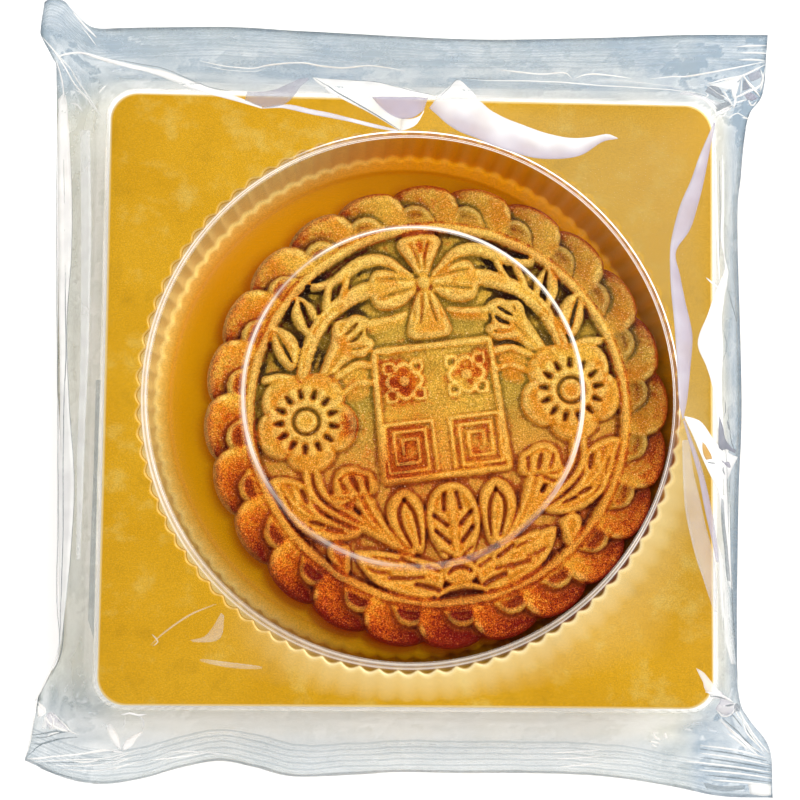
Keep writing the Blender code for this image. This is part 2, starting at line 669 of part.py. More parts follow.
def make_mooncake(group, material):
    """The core and everything raised on it, joined into one solid."""
    cake = make_core(group)
    raised = new_collection("raised shapes")
    make_petals(raised)
    make_ring(raised)
    field = Matrix.Translation((0.0, 0.0, CAKE_FIELD)) @ cake_frame(RELIEF_TURN)
    for index, shape in enumerate(relief_shapes()):
        part = plate(f"relief_{index}", shape, -RELIEF_ROOT - ROOT_STEP * index, raised)
        part.data.transform(field)
    step = cake.modifiers.new("join", "BOOLEAN")
    step.operation = "UNION"
    step.solver = "EXACT"
    step.operand_type = "COLLECTION"
    step.collection = raised

    graph = bpy.context.evaluated_depsgraph_get()
    joined = bpy.data.meshes.new_from_object(cake.evaluated_get(graph))
    cake.modifiers.clear()
    cake.data = joined
    joined.name = "mooncake"
    joined.materials.clear()
    joined.materials.append(material)
    for thing in list(raised.objects):
        bpy.data.objects.remove(thing, do_unlink=True)
    bpy.data.collections.remove(raised)
    return cake


def main():
    clear_scene()
    pack = new_collection("packed mooncake")
    tools = new_collection("cutting and joining shapes")
    make_tray(pack, make_material("gold_pet"))
    make_lid(pack, make_material("clear_pet"))
    make_film_bag(pack, tools, make_material("clear_film"))
    make_mooncake(pack, make_material("baked_crust"))


main()
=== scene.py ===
"""The dressed mooncake pack: baked cake, gold tray, clear lid and sealed film bag.

Shapes are worked out in millimetres with numpy, on grids or as profiles carried round a
centre, and put into meshes in metres at the end. The pack lies flat, +Y to the top seal.
"""

import math
from functools import partial

import bpy
import numpy as np
from mathutils import Euler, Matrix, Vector


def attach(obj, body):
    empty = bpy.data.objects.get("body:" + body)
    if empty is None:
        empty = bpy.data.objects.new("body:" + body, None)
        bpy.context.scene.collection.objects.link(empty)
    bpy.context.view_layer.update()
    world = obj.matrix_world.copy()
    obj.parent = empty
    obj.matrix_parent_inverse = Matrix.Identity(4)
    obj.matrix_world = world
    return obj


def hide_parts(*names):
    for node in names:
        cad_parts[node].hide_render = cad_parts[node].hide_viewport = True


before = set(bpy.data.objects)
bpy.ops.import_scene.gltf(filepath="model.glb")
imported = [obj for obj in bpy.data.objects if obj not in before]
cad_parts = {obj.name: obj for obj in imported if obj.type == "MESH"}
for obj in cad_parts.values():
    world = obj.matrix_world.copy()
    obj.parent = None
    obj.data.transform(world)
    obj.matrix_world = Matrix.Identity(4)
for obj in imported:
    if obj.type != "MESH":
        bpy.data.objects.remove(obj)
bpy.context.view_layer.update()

MM = 0.001

# the photograph's camera: place in mm, turn, lens and sensor width in mm, side in pixels
CAMERA_PLACE = (-21.9, -34.8, 449.9)
CAMERA_TURN = [math.radians(turn) for turn in (4.33, -2.73, 0.63)]
LENS, SENSOR, PHOTO_SIDE = 78.7, 36.0, 800

# the same measures as the solids, in millimetres
TRAY_CENTRE = (0.9, -1.8)
TRAY_FOOT, TRAY_WALL, TRAY_FLOOR = 0.9, 0.6, 1.5
FLANGE_HALF, FLANGE_CORNER, FLANGE_TOP = 75.2, 6.8, 20.6
FLUTES, FLUTE_POINTS, FLUTE_CREST, FLUTE_VALLEY = 88, 10, 67.1, 65.9
FLOOR_CREST, FLOOR_VALLEY = 65.0, 64.2
STEP_RADIUS, STEP_RISE = 60.6, 0.6
LID_WALL, LID_HALF, LID_CORNER, LID_LIP = 0.5, 76.3, 7.6, 1.6
LID_FLANGE_TOP, LID_STEP_TOP, LID_TOP = 21.4, 28.2, 33.6
# painted highlight: how white the raised disc's wall and the step's shoulders show round
# the lid: (degrees, share)
DISC_WHITE = ((0, 0.85), (55, 0.8), (75, 1.0), (120, 1.0), (129, 0.4), (144, 0.45), (152, 1.0),
              (200, 1.0), (212, 0.45), (224, 0.2), (232, 0.22), (240, 0.45), (258, 0.42),
              (268, 0.16), (318, 0.12), (338, 0.5), (350, 0.85))
STEP_WHITE = ((0, 0.9), (110, 0.9), (150, 1.0), (205, 1.0), (225, 0.6), (300, 0.6), (340, 0.8))
CAKE_BASE, CAKE_FIELD = 2.45, 22.35

PATTERN_CENTRE = (7.92, -5.54)          # middle line of the pressed pattern
PATTERN_TURN = math.radians(7.7)        # it stands a little askew in the pack
RING_CENTRE = (7.52, -5.59)             # middle of the plain ring and of the petals
RING_RADIUS = 46.2
PETALS, PETAL_TURN = 24, math.radians(11.3)


# --- small tools -----------------------------------------------------------------------

def soft_step(value, low, high):
    """0 below low, 1 above high, and between them the smooth cubic 3s^2 - 2s^3."""
    share = np.clip((value - low) / (high - low), 0.0, 1.0)
    return share * share * (3.0 - 2.0 * share)


def rounded(share, fullness=2.2):
    """Section of a rolled edge: the super-ellipse that leaves 0 steeply and ends level at 1."""
    share = np.clip(share, 0.0, 1.0)
    return (1.0 - (1.0 - share) ** fullness) ** (1.0 / fullness)


def facing(angles, heading, low, high):
    """1 on the side that faces a heading in degrees, 0 away from it: the smooth step, from low
    to high, of the cosine of the angle between them."""
    return soft_step(np.cos(angles - math.radians(heading)), low, high)


def smooth_path(points, per_span=6, closed=False):
    """Catmull-Rom curve: through each point, heading there along its neighbours' line."""
    points = np.asarray(points, float)
    if closed:
        around = np.concatenate([points[-1:], points, points[:2]])
    else:
        around = np.concatenate([2 * points[:1] - points[1:2], points,
                                 2 * points[-1:] - points[-2:-1]])
    step = np.linspace(0.0, 1.0, per_span, endpoint=False)[:, None, None]
    before, here, there, after = (around[k:len(around) - 3 + k][None] for k in range(4))
    curve = 0.5 * (2 * here + (there - before) * step
                   + (2 * before - 5 * here + 4 * there - after) * step ** 2
                   + (3 * here - before - 3 * there + after) * step ** 3)
    curve = curve.transpose(1, 0, 2).reshape(-1, points.shape[1])
    return curve if closed else np.concatenate([curve, points[-1:]])


def path_gap(x, y, path):
    """Share along each span of a path and the distance to it, for every point (x, y)."""
    start, run = path[:-1], np.diff(path, axis=0)
    dx, dy = x[:, None] - start[None, :, 0], y[:, None] - start[None, :, 1]
    length = np.maximum((run ** 2).sum(-1), 1e-12)
    share = np.clip((dx * run[:, 0] + dy * run[:, 1]) / length, 0.0, 1.0)
    return share, np.hypot(dx - share * run[:, 0], dy - share * run[:, 1])


def lattice_noise(x, y, cell, seed):
    """Smooth noise from -1 to 1: seeded values on a square lattice of the given cell, mixed
    between the four corners by the smooth cubic. The lattice is turned by 31 degrees."""
    lattice = np.random.default_rng(seed).uniform(-1.0, 1.0, (64, 64))
    turned = (x * 0.857 - y * 0.515) / cell, (x * 0.515 + y * 0.857) / cell
    column, row = (np.floor(t).astype(int) for t in turned)
    fx, fy = (soft_step(t - np.floor(t), 0.0, 1.0) for t in turned)
    pick = [[lattice[(row + j) % 64, (column + i) % 64] for i in (0, 1)] for j in (0, 1)]
    low = pick[0][0] * (1 - fx) + pick[0][1] * fx
    high = pick[1][0] * (1 - fx) + pick[1][1] * fx
    return low * (1 - fy) + high * fy


def crumple(x, y, cell, seed, layers=3):
    """Sharp-creased noise from 0 to 1: each layer is 1 - |smooth noise|, halved in size."""
    total, weight = 0.0, 0.0
    for layer in range(layers):
        share = 0.5 ** layer
        total = total + share * (1.0 - np.abs(lattice_noise(x, y, cell * share, seed + layer)))
        weight += share
    return total / weight


def grid_faces(rows, columns, first=0, wrap=False):
    """Quads between neighbouring rows of points; wrap joins the last column to the first."""
    row = np.arange(rows - 1)[:, None] * columns
    column = np.arange(columns if wrap else columns - 1)[None]
    beside = (column + 1) % columns
    quads = np.stack([row + column, row + beside, row + columns + beside,
                      row + columns + column], axis=-1)
    return quads.reshape(-1, 4) + first


def rim_loop(rows, columns):
    """The outermost points of a grid, in order round it."""
    index = np.arange(rows * columns).reshape(rows, columns)
    return np.concatenate([index[0, :-1], index[:-1, -1], index[-1, :0:-1], index[:0:-1, 0]])


def closed_skin(grid, loop, rings, tip):
    """Points and faces of a grid closed from below: rings of points follow its outermost loop,
    one under another, and the last one closes on the tip."""
    top, columns = grid.reshape(-1, 3), len(loop)
    points = np.concatenate([top, *rings, [tip]])
    start = len(top) + np.arange(columns)
    last = start + (len(rings) - 1) * columns
    quads = [grid_faces(*grid.shape[:2]),
             np.stack([loop, start, np.roll(start, -1), np.roll(loop, -1)], axis=-1),
             grid_faces(len(rings), columns, len(top), wrap=True)[:, ::-1]]
    fan = np.stack([last, np.full(columns, len(points) - 1), np.roll(last, -1)], axis=-1)
    return points, np.concatenate(quads).tolist() + fan.tolist()


def add_piece(name, points, faces, material, node, values=None):
    """A smooth mesh of the named piece, its points given in mm, that takes a node's place.
    values maps names of point attributes to one number a point."""
    mesh = bpy.data.meshes.new(name)
    mesh.from_pydata(np.asarray(points) * MM, [], faces)
    for label, numbers in (values or {}).items():
        layer = mesh.attributes.new(label, "FLOAT", "POINT")
        layer.data.foreach_set("value", np.asarray(numbers, np.float32).ravel())
    mesh.polygons.foreach_set("use_smooth", np.ones(len(mesh.polygons), bool))
    mesh.materials.append(material)
    mesh.update()
    piece = bpy.data.objects.new(name, mesh)
    bpy.context.scene.collection.objects.link(piece)
    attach(piece, "root")
    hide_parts(node)
    return piece


# --- materials -------------------------------------------------------------------------

# the points' own numbers that the crust and the gold read
CAKE_ATTRIBUTES = ("height", "edge", "swell", "browned", "oven", "warm", "tone")
TRAY_ATTRIBUTES = ("depth", "brim", "wall", "shade", "lee", "dull")


def srgb(code):
    """Linear colour of an sRGB hex value."""
    parts = [int(code[k:k + 2], 16) / 255 for k in (1, 3, 5)]
    return tuple(((p + 0.055) / 1.055) ** 2.4 if p > 0.04045 else p / 12.92
                 for p in parts) + (1.0,)


# the property that holds a node's mode, for the kinds that are given one
MODES = {"Math": "operation", "VectorMath": "operation", "MapRange": "interpolation_type",
         "Mix": "data_type", "Attribute": "attribute_name"}
CLEAR = "#FDFEFE"


def add_node(tree, kind, *values, out="", **named):
    """Add a node of a kind, written with its mode after a space where it has one. values fill
    its inputs in turn, and named ones its inputs, with _ for each space, or its properties:
    each is a number, a hex colour or a socket. Gives its first output, or the one named out."""
    kind, _, mode = kind.partition(" ")
    node = tree.nodes.new("ShaderNode" + kind)
    if mode:
        setattr(node, MODES[kind], mode)
    filled = list(zip([socket for socket in node.inputs if socket.enabled], values))
    for name, value in named.items():
        if name.replace("_", " ") in node.inputs:
            filled.append((node.inputs[name.replace("_", " ")], value))
        else:
            setattr(node, name, value)
    for socket, value in filled:
        if isinstance(value, bpy.types.NodeSocket):
            tree.links.new(value, socket)
        else:
            socket.default_value = srgb(value) if isinstance(value, str) else value
    outputs = [socket for socket in node.outputs if socket.enabled and out in ("", socket.name)]
    return outputs[0] if outputs else None


def new_material(name):
    """An empty node material, and add_node() for its tree."""
    material = bpy.data.materials.new(name)
    material.use_nodes = True
    material.node_tree.nodes.clear()
    return material, partial(add_node, material.node_tree)


def swayed(add, value, pattern, reach):
    """value moved up and down by a pattern about its middle: value + (pattern - 0.5) reach."""
    return add("Math MULTIPLY_ADD", add("Math SUBTRACT", pattern, 0.5), reach, value)


def coated(add, colour, *coats):
    """The colour with each coat of (share, colour) laid over it in turn: the old one where the
    share is 0, the coat's where it is 1."""
    for share, coat in coats:
        colour = add("Mix RGBA", share, colour, coat)
    return colour


def mottle(add, cell, detail=2.0, roughness=0.5):
    """An uneven pattern, 0 to 1, of spots of the given size in mm, fixed to the piece."""
    return add("TexNoise", Vector=add("TexCoord", out="Object"), Scale=1.0 / (cell * MM),
               Detail=detail, Roughness=roughness, out="Fac")


def baked_crust():
    """Baked pastry crust, pressed in a mould and washed with egg: orange-gold on its faces, deep
    red-brown where it is browned most, tan to olive on the low ground; pale gold on its crests
    as a painted highlight, painted shade in its hollows, broad low parts and deepest gaps, and
    painted light and shade round its rim; its fine crumb breaks the egg wash's satin gloss."""
    material, add = new_material("baked pastry crust")
    height, edge, swell, browned, oven, warm, tone = (
        add("Attribute " + name, out="Fac") for name in CAKE_ATTRIBUTES)
    crumb = mottle(add, 0.36, 3.0, 0.7)
    specks = mottle(add, 1.3, 3.0, 0.75)
    patches = mottle(add, 7.0, 3.0, 0.55)
    face = coated(add, "#DDA236", (warm, "#D68620"),
                  (add("MapRange SMOOTHSTEP", patches, 0.35, 0.68), "#D27C14"))
    ground = coated(add, "#CC9E38", (add("MapRange SMOOTHSTEP", patches, 0.3, 0.65), "#AE8A30"),
                    (warm, "#CC8A30"))
    # browning, broken up by specks and crumb, then held back on the crests
    amount = swayed(add, swayed(add, browned, specks, 1.3), crumb,
                    add("MapRange SMOOTHSTEP", browned, 0.2, 0.9, 0.0, -1.5))
    # painted shade: broad low parts are browned more, and broad rises less
    amount = add("Math ADD", amount, add("MapRange SMOOTHSTEP", swell, -0.7, 0.7, 0.15, -0.3))
    # painted highlight on the crests, weaker where browned, broken up by specks
    crest = add("Math MULTIPLY", add("MapRange SMOOTHSTEP", edge, 0.02, 0.32),
                add("MapRange SMOOTHSTEP", browned, 0.2, 0.9, 0.68, 0.4))
    crest = add("Math MULTIPLY", crest, add("MapRange SMOOTHSTEP", specks, 0.3, 0.6, 0.45, 1.0))
    # painted shade in the hollows: olive on bare ground, redder where browned, the deepest nearly
    # black
    hollow = swayed(add, add("Math MULTIPLY", edge, -1.0), specks, 0.9)
    red = add("Math MAXIMUM", warm, add("MapRange SMOOTHSTEP", browned, 0.1, 0.4))
    deep = add("Math MULTIPLY", add("Math MULTIPLY", oven, 0.85),
               add("MapRange SMOOTHSTEP", hollow, 0.1, 0.5))
    colour = coated(add, ground, (add("MapRange SMOOTHSTEP", height, 0.25, 1.1), face),
                    (add("MapRange SMOOTHSTEP", amount, 0.12, 0.72), "#BC4F06"),
                    (add("MapRange SMOOTHSTEP", amount, 0.5, 1.15), "#720E02"),
                    (crest, coated(add, "#F4C868", (warm, "#F0AE48"))),
                    (add("MapRange SMOOTHSTEP", hollow, 0.06, 0.5, 0.0, 0.9),
                     coated(add, "#7E6018", (red, "#92380C"))),
                    (add("MapRange SMOOTHSTEP", hollow, 0.55, 1.3), "#521406"),
                    (deep, "#24100A"))
    # crumb: each grain lit on its top, dark at its foot, a few with a pale glint
    grain = add("Math MULTIPLY", add("MapRange SMOOTHSTEP", crumb, 0.32, 0.68, 0.56, 1.42),
                add("MapRange SMOOTHSTEP", specks, 0.3, 0.7, 0.88, 1.12))
    glint = add("Math MULTIPLY", add("MapRange SMOOTHSTEP", crumb, 0.6, 0.74, 0.0, 0.7),
                add("MapRange SMOOTHSTEP", browned, 0.2, 0.8, 1.0, 0.25))
    # tone: painted light and shade round the rim and across each petal
    colour = add("VectorMath SCALE", colour, add("Math MULTIPLY", grain, tone))
    add("OutputMaterial", add(
        "BsdfPrincipled", Base_Color=coated(add, colour, (glint, "#FFF0CC")),
        Roughness=add("MapRange SMOOTHSTEP", specks, 0.35, 0.7, 0.35, 0.6), IOR=1.45,
        Specular_IOR_Level=0.12, Normal=add("Bump", Strength=0.9, Distance=0.4 * MM,
                                            Height=crumb)))
    return material


def gold_tray():
    """Gold-lacquered thermoformed polystyrene: satin metal lustre, clouded and finely flecked as
    vacuum-coated sheet is. Painted on it: a brighter gold down in the well against its shade,
    painted highlights and sheen, pale on the brim, the flange and its edge, painted light on
    the wall, painted shade, duller, on the flange's right, and orange beside the browned cake
    as its painted reflection and shade."""
    material, add = new_material("gold-lacquered polystyrene")
    depth, brim, wall, shade, lee, dull = (
        add("Attribute " + name, out="Fac") for name in TRAY_ATTRIBUTES)
    cloud = mottle(add, 22.0, 3.0)
    stain = mottle(add, 9.0, 4.0, 0.6)
    # the lacquer's flecks are finer than this, and are drawn as coarse as they need to show
    fleck = mottle(add, 0.35, 2.0, 0.7)
    # painted light in the coats: a brighter gold in the well, a warmer one on the sheltered wall and
    # a pale one on the lit wall; the painted reflection and shade of the cake; painted shade on the
    # flange's right
    colour = coated(add, "#CF9410", (cloud, "#DDA92A"),
                    (add("MapRange SMOOTHSTEP", stain, 0.5, 0.75, 0.0, 0.45), "#E2C46A"),
                    (add("MapRange SMOOTHSTEP", stain, 0.45, 0.25, 0.0, 0.4), "#B2841A"),
                    (add("MapRange SMOOTHSTEP", depth, 0.0, 1.0, 0.0, 0.93), "#E4A204"),
                    (lee, "#F8AA14"), (wall, "#FFE694"),
                    (add("MapRange SMOOTHSTEP", shade, 0.0, 0.5), "#C06A08"),
                    (add("MapRange SMOOTHSTEP", shade, 0.5, 1.0), "#B03C0C"), (dull, "#BE9A50"))
    # the flecks are darker in the painted shade on the flange's right
    flecked = add("Math MULTIPLY", add("MapRange SMOOTHSTEP", fleck, 0.3, 0.7, 0.86, 1.14),
                  add("MapRange SMOOTHSTEP", dull, 0.0, 0.4, 1.0, 0.8))
    colour = add("VectorMath SCALE", colour, flecked)
    metal = add("MapRange SMOOTHSTEP", add("Math MAXIMUM", wall, lee), 0.0, 1.0, 0.38, 0.1)
    # brim: painted highlights and sheen
    add("OutputMaterial", add(
        "BsdfPrincipled", Base_Color=coated(add, colour, (brim, "#FFE9B0")), Metallic=metal,
        Roughness=add("MapRange SMOOTHSTEP", cloud, 0.3, 0.7, 0.45, 0.55),
        Specular_IOR_Level=0.06, Normal=add("Bump", Strength=0.12, Distance=0.2 * MM,
                                            Height=fleck)))
    return material


def see_through(name, tint, body_share, body_colour, roughness, ior, mirror, ripple=None):
    """Clear plastic: tinted see-through, a mirror gloss by Fresnel, and a diffuse body of the
    body colour where the body share is high, which carries the painted highlights,
    reflections and shadows of bends and creases and the grey cast of slack film."""
    material, add = new_material(name)
    tint, body_share, body_colour = (part(add) if callable(part) else part for part in (tint, body_share, body_colour))
    leaning = {"Normal": ripple(add)} if ripple else {}
    gloss = add("BsdfGlossy", Color="#FFFFFF", Roughness=roughness, **leaning)
    # a flat sheet's own faint mirror is taken off, so that only slanting film shines
    share = add("Math SUBTRACT", add("Fresnel", IOR=ior, **leaning), 0.034, use_clamp=True)
    share = add("Math MULTIPLY", share, mirror)
    sheet = add("MixShader", share, add("BsdfTransparent", Color=tint), gloss)
    add("OutputMaterial", add("MixShader", body_share, sheet, add("BsdfDiffuse", Color=body_colour)))
    return material


def clear_pet():
    """Clear thermoformed PET sheet: almost unseen where flat; each bend carries a painted
    highlight, a diffuse white brighter than paper."""
    def body_share(add):
        return add("Attribute bend", out="Fac")
    return see_through("clear PET sheet", CLEAR, body_share, (1.5, 1.4, 1.3, 1.0), 0.08, 1.57, 0.06)


def opp_film():
    """Clear OPP wrapping film: a grey cast where it is slack or doubled, with painted shading
    across its crumpled facets, colder at the seals and corners, glassy gloss, and the seals'
    pressed ribs with a painted highlight on each crest and painted shade in each trough; its
    sharpest crumples carry painted highlights."""
    def rib(add):
        way = add("Math MULTIPLY", add("Attribute rib", out="Fac"), 2 * math.pi / SEAL_RIB_PITCH)
        uneven = add("Math MULTIPLY_ADD", mottle(add, 9.0), 5.0, way)
        return add("Math MULTIPLY", add("Math SINE", uneven), add("Attribute seal", out="Fac"))

    def grey(add):
        return coated(add, "#C9C9BC", (add("Attribute cool", out="Fac"), "#97A8B6"))

    def tint(add):
        grain = add("MapRange SMOOTHSTEP", mottle(add, 0.7, 2.0, 0.7), 0.3, 0.7, 0.9, 1.1)
        slack = add("Math MULTIPLY", add("Attribute slack", out="Fac"), grain)
        # painted shade in each rib's trough
        return coated(add, CLEAR, (slack, grey(add)),
                      (add("MapRange SMOOTHSTEP", rib(add), -0.1, -0.9, 0.0, 0.45), "#9FAAB2"))

    def body_share(add):
        veil = add("Math MULTIPLY", add("Attribute slack", out="Fac"), 0.3)
        # painted highlights on each rib's crest and, by crease, on the sharpest crumples
        lit = add("MapRange SMOOTHSTEP", rib(add), 0.2, 1.0, 0.0, 0.35)
        return add("Math MAXIMUM", add("Math MAXIMUM", veil, lit),
                   add("Attribute crease", out="Fac"), use_clamp=True)

    def body_colour(add):
        crease = add("Attribute crease", out="Fac")
        return coated(add, grey(add), (add("MapRange SMOOTHSTEP", crease, 0.0, 0.5), "#FCFDFF"))

    def ripple(add):
        return add("Bump", Strength=0.5, Distance=0.15 * MM, Height=mottle(add, 3.0, 3.0, 0.6))
    return see_through("clear OPP film", tint, body_share, body_colour, 0.1, 1.5, 0.2, ripple)


def creased_film():
    """OPP film where it is folded on itself: a white painted highlight on a sharp fold, a lilac
    painted reflection where a slack facet catches the sky, a grey painted shadow in the line
    under a fold, and the tray's gold where it shows through."""
    def body_colour(add):
        tone = add("Attribute tone", out="Fac")
        return coated(add, "#6E787E", (add("MapRange SMOOTHSTEP", tone, 0.0, 0.5), "#B4ABBC"),
                      (add("MapRange SMOOTHSTEP", tone, -0.05, -0.5), "#C9973A"),
                      (add("MapRange SMOOTHSTEP", tone, 0.5, 1.0), "#F2F0EC"))

    def body_share(add):
        return add("Math MULTIPLY", add("Attribute white", out="Fac"),
                   add("MapRange SMOOTHSTEP", mottle(add, 8.0), 0.3, 0.6, 0.82, 1.0))
    return see_through("creased OPP film", CLEAR, body_share, body_colour, 0.15, 1.5, 0.15)


def paper_floor():
    """Matt white studio paper."""
    material, add = new_material("white studio paper")
    add("OutputMaterial", add("BsdfPrincipled", Base_Color="#FAFAFA", Roughness=0.9))
    return material


# --- the pressed pattern on the cake ---------------------------------------------------

FLOWER, FLOWER_LOBES, FLOWER_BEATS = (32.7, 2.0), 5, 13
PANEL_HALF, PANEL_TOP, PANEL_FOOT, PANEL_CORNER = 15.2, 17.9, -15.9, 1.6
PANEL_FLARE = 1.2 / 33.7                # how much its half widens with each mm down
BLOSSOM, FRET = (7.7, 9.0), (8.1, -7.2)
# the fret's corners from its middle: a square line wound inwards
FRET_LINE = ((-5.9, -5.9), (-5.9, 5.9), (5.9, 5.9), (5.9, -5.9), (-3.9, -5.9), (-3.9, 3.9),
             (3.9, 3.9), (3.9, -3.9), (-1.9, -3.9), (-1.9, 1.9), (1.9, 1.9), (1.9, -1.5))


class Pressing:
    """The pressed pattern on points (u, v) in millimetres: u is folded at the middle line, so
    each shape of the right half is pressed on the left one too."""

    def __init__(self, u, v, ground):
        self.u, self.v = np.abs(u), v
        self.height = ground.copy()

    def raise_to(self, here, level):
        """The height at the points here, lifted to the level where it is lower."""
        self.height[here] = np.maximum(self.height[here], level)

    def near(self, path, reach):
        """The points in a path's box, widened by reach."""
        low, high = path.min(0) - reach, path.max(0) + reach
        return np.flatnonzero((self.u > low[0]) & (self.u < high[0])
                              & (self.v > low[1]) & (self.v < high[1]))

    def across(self, points, widths):
        """Distance from a path for its half width, at the points within that reach."""
        widths = np.broadcast_to(widths, len(points)).astype(float)
        path = smooth_path(np.column_stack([np.asarray(points, float), widths]))
        here = self.near(path[:, :2], path[:, 2].max() / 2)
        if not len(here):
            return here, np.zeros(0)
        share, gap = path_gap(self.u[here], self.v[here], path[:, :2])
        half = (path[:-1, 2] + share * np.diff(path[:, 2])) / 2
        return here, (gap / half).min(1)

    def ridge(self, points, widths, rise, fullness=2.2):
        """A round-topped bar along a path: the rolled edge's section across its width."""
        here, ratio = self.across(points, widths)
        inside = ratio < 1.0
        self.raise_to(here[inside], rise * rounded(1.0 - ratio[inside], fullness))

    def slot(self, points, widths, depth):
        """A groove cut along a path: the smooth step down to its depth at its middle."""
        here, ratio = self.across(points, widths)
        self.height[here] -= depth * soft_step(1.0 - ratio, 0.0, 0.75)

    def form(self, outline, rise, edge, dish=0.0, dish_edge=1.0):
        """Raise what lies inside a closed outline, where its winding number isn't 0: a rolled
        edge, then a sunk middle."""
        path = smooth_path(outline, 5, closed=True)
        path = np.concatenate([path, path[:1]])
        here = self.near(path, 0.0)
        if not len(here):
            return
        gap = path_gap(self.u[here], self.v[here], path)[1].min(1)
        x, y = self.u[here][:, None], self.v[here][:, None]
        x0, y0, x1, y1 = path[:-1, 0], path[:-1, 1], path[1:, 0], path[1:, 1]
        rising = (y0 <= y) & (y < y1)
        falling = (y1 <= y) & (y < y0)
        side = (x1 - x0) * (y - y0) - (x - x0) * (y1 - y0)
        inside = (rising & (side > 0)).sum(1) != (falling & (side < 0)).sum(1)
        gap = gap[inside]
        sunk = dish * soft_step(gap, 0.75 * edge, 0.75 * edge + dish_edge)
        self.raise_to(here[inside], rise * rounded(gap / edge) - sunk)


def polar(middle, reach, way):
    """The point at a distance from a middle, in the direction of an angle."""
    return middle[0] + reach * math.cos(way), middle[1] + reach * math.sin(way)


def both_sides(points):
    """A closed outline from its right half, which starts and ends near the middle line."""
    points = np.asarray(points, float)
    return np.concatenate([points, (points * (-1, 1))[::-1]])


def press_top_flower(top):
    """A blossom of four petals round a bead, each with its veins cut in."""
    top.form([(1.6, 34.2), (5.0, 35.5), (7.6, 36.8), (9.6, 37.3), (11.4, 37.2), (12.5, 36.3),
              (13.3, 34.8), (14.0, 33.0), (14.0, 31.0), (13.3, 29.4), (12.4, 27.8), (11.2, 27.0),
              (9.0, 26.6), (6.4, 27.2), (4.2, 28.4), (1.8, 30.6)], 2.4, 2.2)
    top.slot([(2.6, 33.5), (7.0, 34.4), (11.6, 34.7)], (0.8, 1.6, 0.7), 0.75)
    top.slot([(2.6, 31.5), (7.0, 30.8), (11.6, 29.8)], (0.8, 1.6, 0.7), 0.75)
    top.form(both_sides([(1.4, 34.0), (2.9, 37.0), (4.5, 40.0), (5.5, 42.2), (4.9, 43.9),
                         (3.0, 44.8), (0.8, 45.0)]), 2.5, 2.0)
    top.slot([(0.6, 36.0), (1.0, 39.0), (2.2, 42.4)], (0.6, 1.2, 0.7), 0.8)
    top.slot([(0.0, 42.6), (0.0, 40.6)], 2.6, 0.45)
    top.form(both_sides([(1.6, 31.0), (3.2, 28.2), (4.5, 25.0), (5.5, 21.8), (5.5, 20.0),
                         (4.2, 18.8), (2.2, 18.4), (0.6, 18.3)]), 2.5, 2.0)
    top.slot([(0.8, 30.0), (1.2, 26.5), (2.0, 22.6)], (0.6, 1.2, 0.7), 0.8)
    top.slot([(3.0, 27.0), (3.6, 23.6)], (0.5, 0.9), 0.35)
    top.ridge([(0.0, 32.8), (0.0, 32.3)], 4.0, 2.9)


def press_upper_side(top):
    """The stem that leaves the top flower with two tendrils, the broad arched stem with its
    grooves, two leaves on it, the veined leaf beside it and the stem below the flower."""
    top.ridge([(2.6, 34.6), (5.2, 36.3), (7.5, 38.2), (10.0, 39.3), (12.6, 39.6), (15.6, 39.0),
               (18.6, 37.3), (21.5, 35.7), (24.2, 34.9), (27.0, 34.7)],
              (1.2, 2.3, 3.0, 3.4, 3.5, 3.5, 3.4, 2.7, 2.4, 2.2), 2.0)
    top.ridge([(18.8, 35.6), (19.5, 33.4), (20.6, 31.2)], 2.0, 1.8)
    top.ridge([(23.2, 34.6), (24.0, 31.6), (24.7, 29.0)], 2.1, 1.8)
    top.ridge([(13.4, 32.5), (17.0, 31.6), (20.4, 29.9), (23.5, 28.0), (26.2, 25.5), (28.4, 22.7),
               (30.1, 19.5), (31.4, 16.3), (32.3, 12.8)],
              (4.4, 4.3, 4.1, 4.0, 3.9, 3.8, 3.7, 3.6, 3.5), 2.1, 2.6)
    top.slot([(22.5, 29.0), (26.2, 26.0), (28.9, 22.4), (31.0, 17.8), (32.2, 13.6)],
             (0.3, 0.7, 0.8, 0.8, 0.6), 0.5)
    top.slot([(24.0, 27.0), (27.2, 23.0), (29.4, 18.6), (30.8, 14.8)], (0.3, 0.6, 0.6, 0.5), 0.3)
    top.ridge([(29.6, 23.0), (31.3, 26.2), (31.8, 29.4), (31.1, 32.5)], (1.2, 2.7, 2.8, 0.9), 2.0)
    top.ridge([(27.3, 26.2), (28.4, 29.4), (30.3, 32.3)], (1.6, 2.2, 0.9), 1.8)
    top.form([(33.7, 15.4), (32.2, 18.0), (31.9, 20.4), (33.0, 23.2), (35.2, 25.3), (38.4, 26.5),
              (39.0, 23.2), (38.5, 19.8), (37.2, 17.1), (35.3, 14.9)], 2.2, 1.6, 0.3)
    top.slot([(34.3, 16.6), (35.7, 20.2), (37.6, 24.6)], (0.6, 1.3, 0.7), 1.2)
    top.form([(5.0, 25.8), (7.0, 26.2), (9.0, 25.6), (12.0, 25.1), (15.2, 24.8), (15.6, 22.8),
              (15.2, 21.0), (12.5, 21.5), (9.5, 21.9), (7.0, 22.5), (5.2, 23.6)], 1.0, 2.6)
    top.ridge([(5.2, 25.4), (8.6, 24.7), (12.0, 24.3), (15.8, 24.1)], (1.2, 1.8, 2.0, 2.2), 1.5)


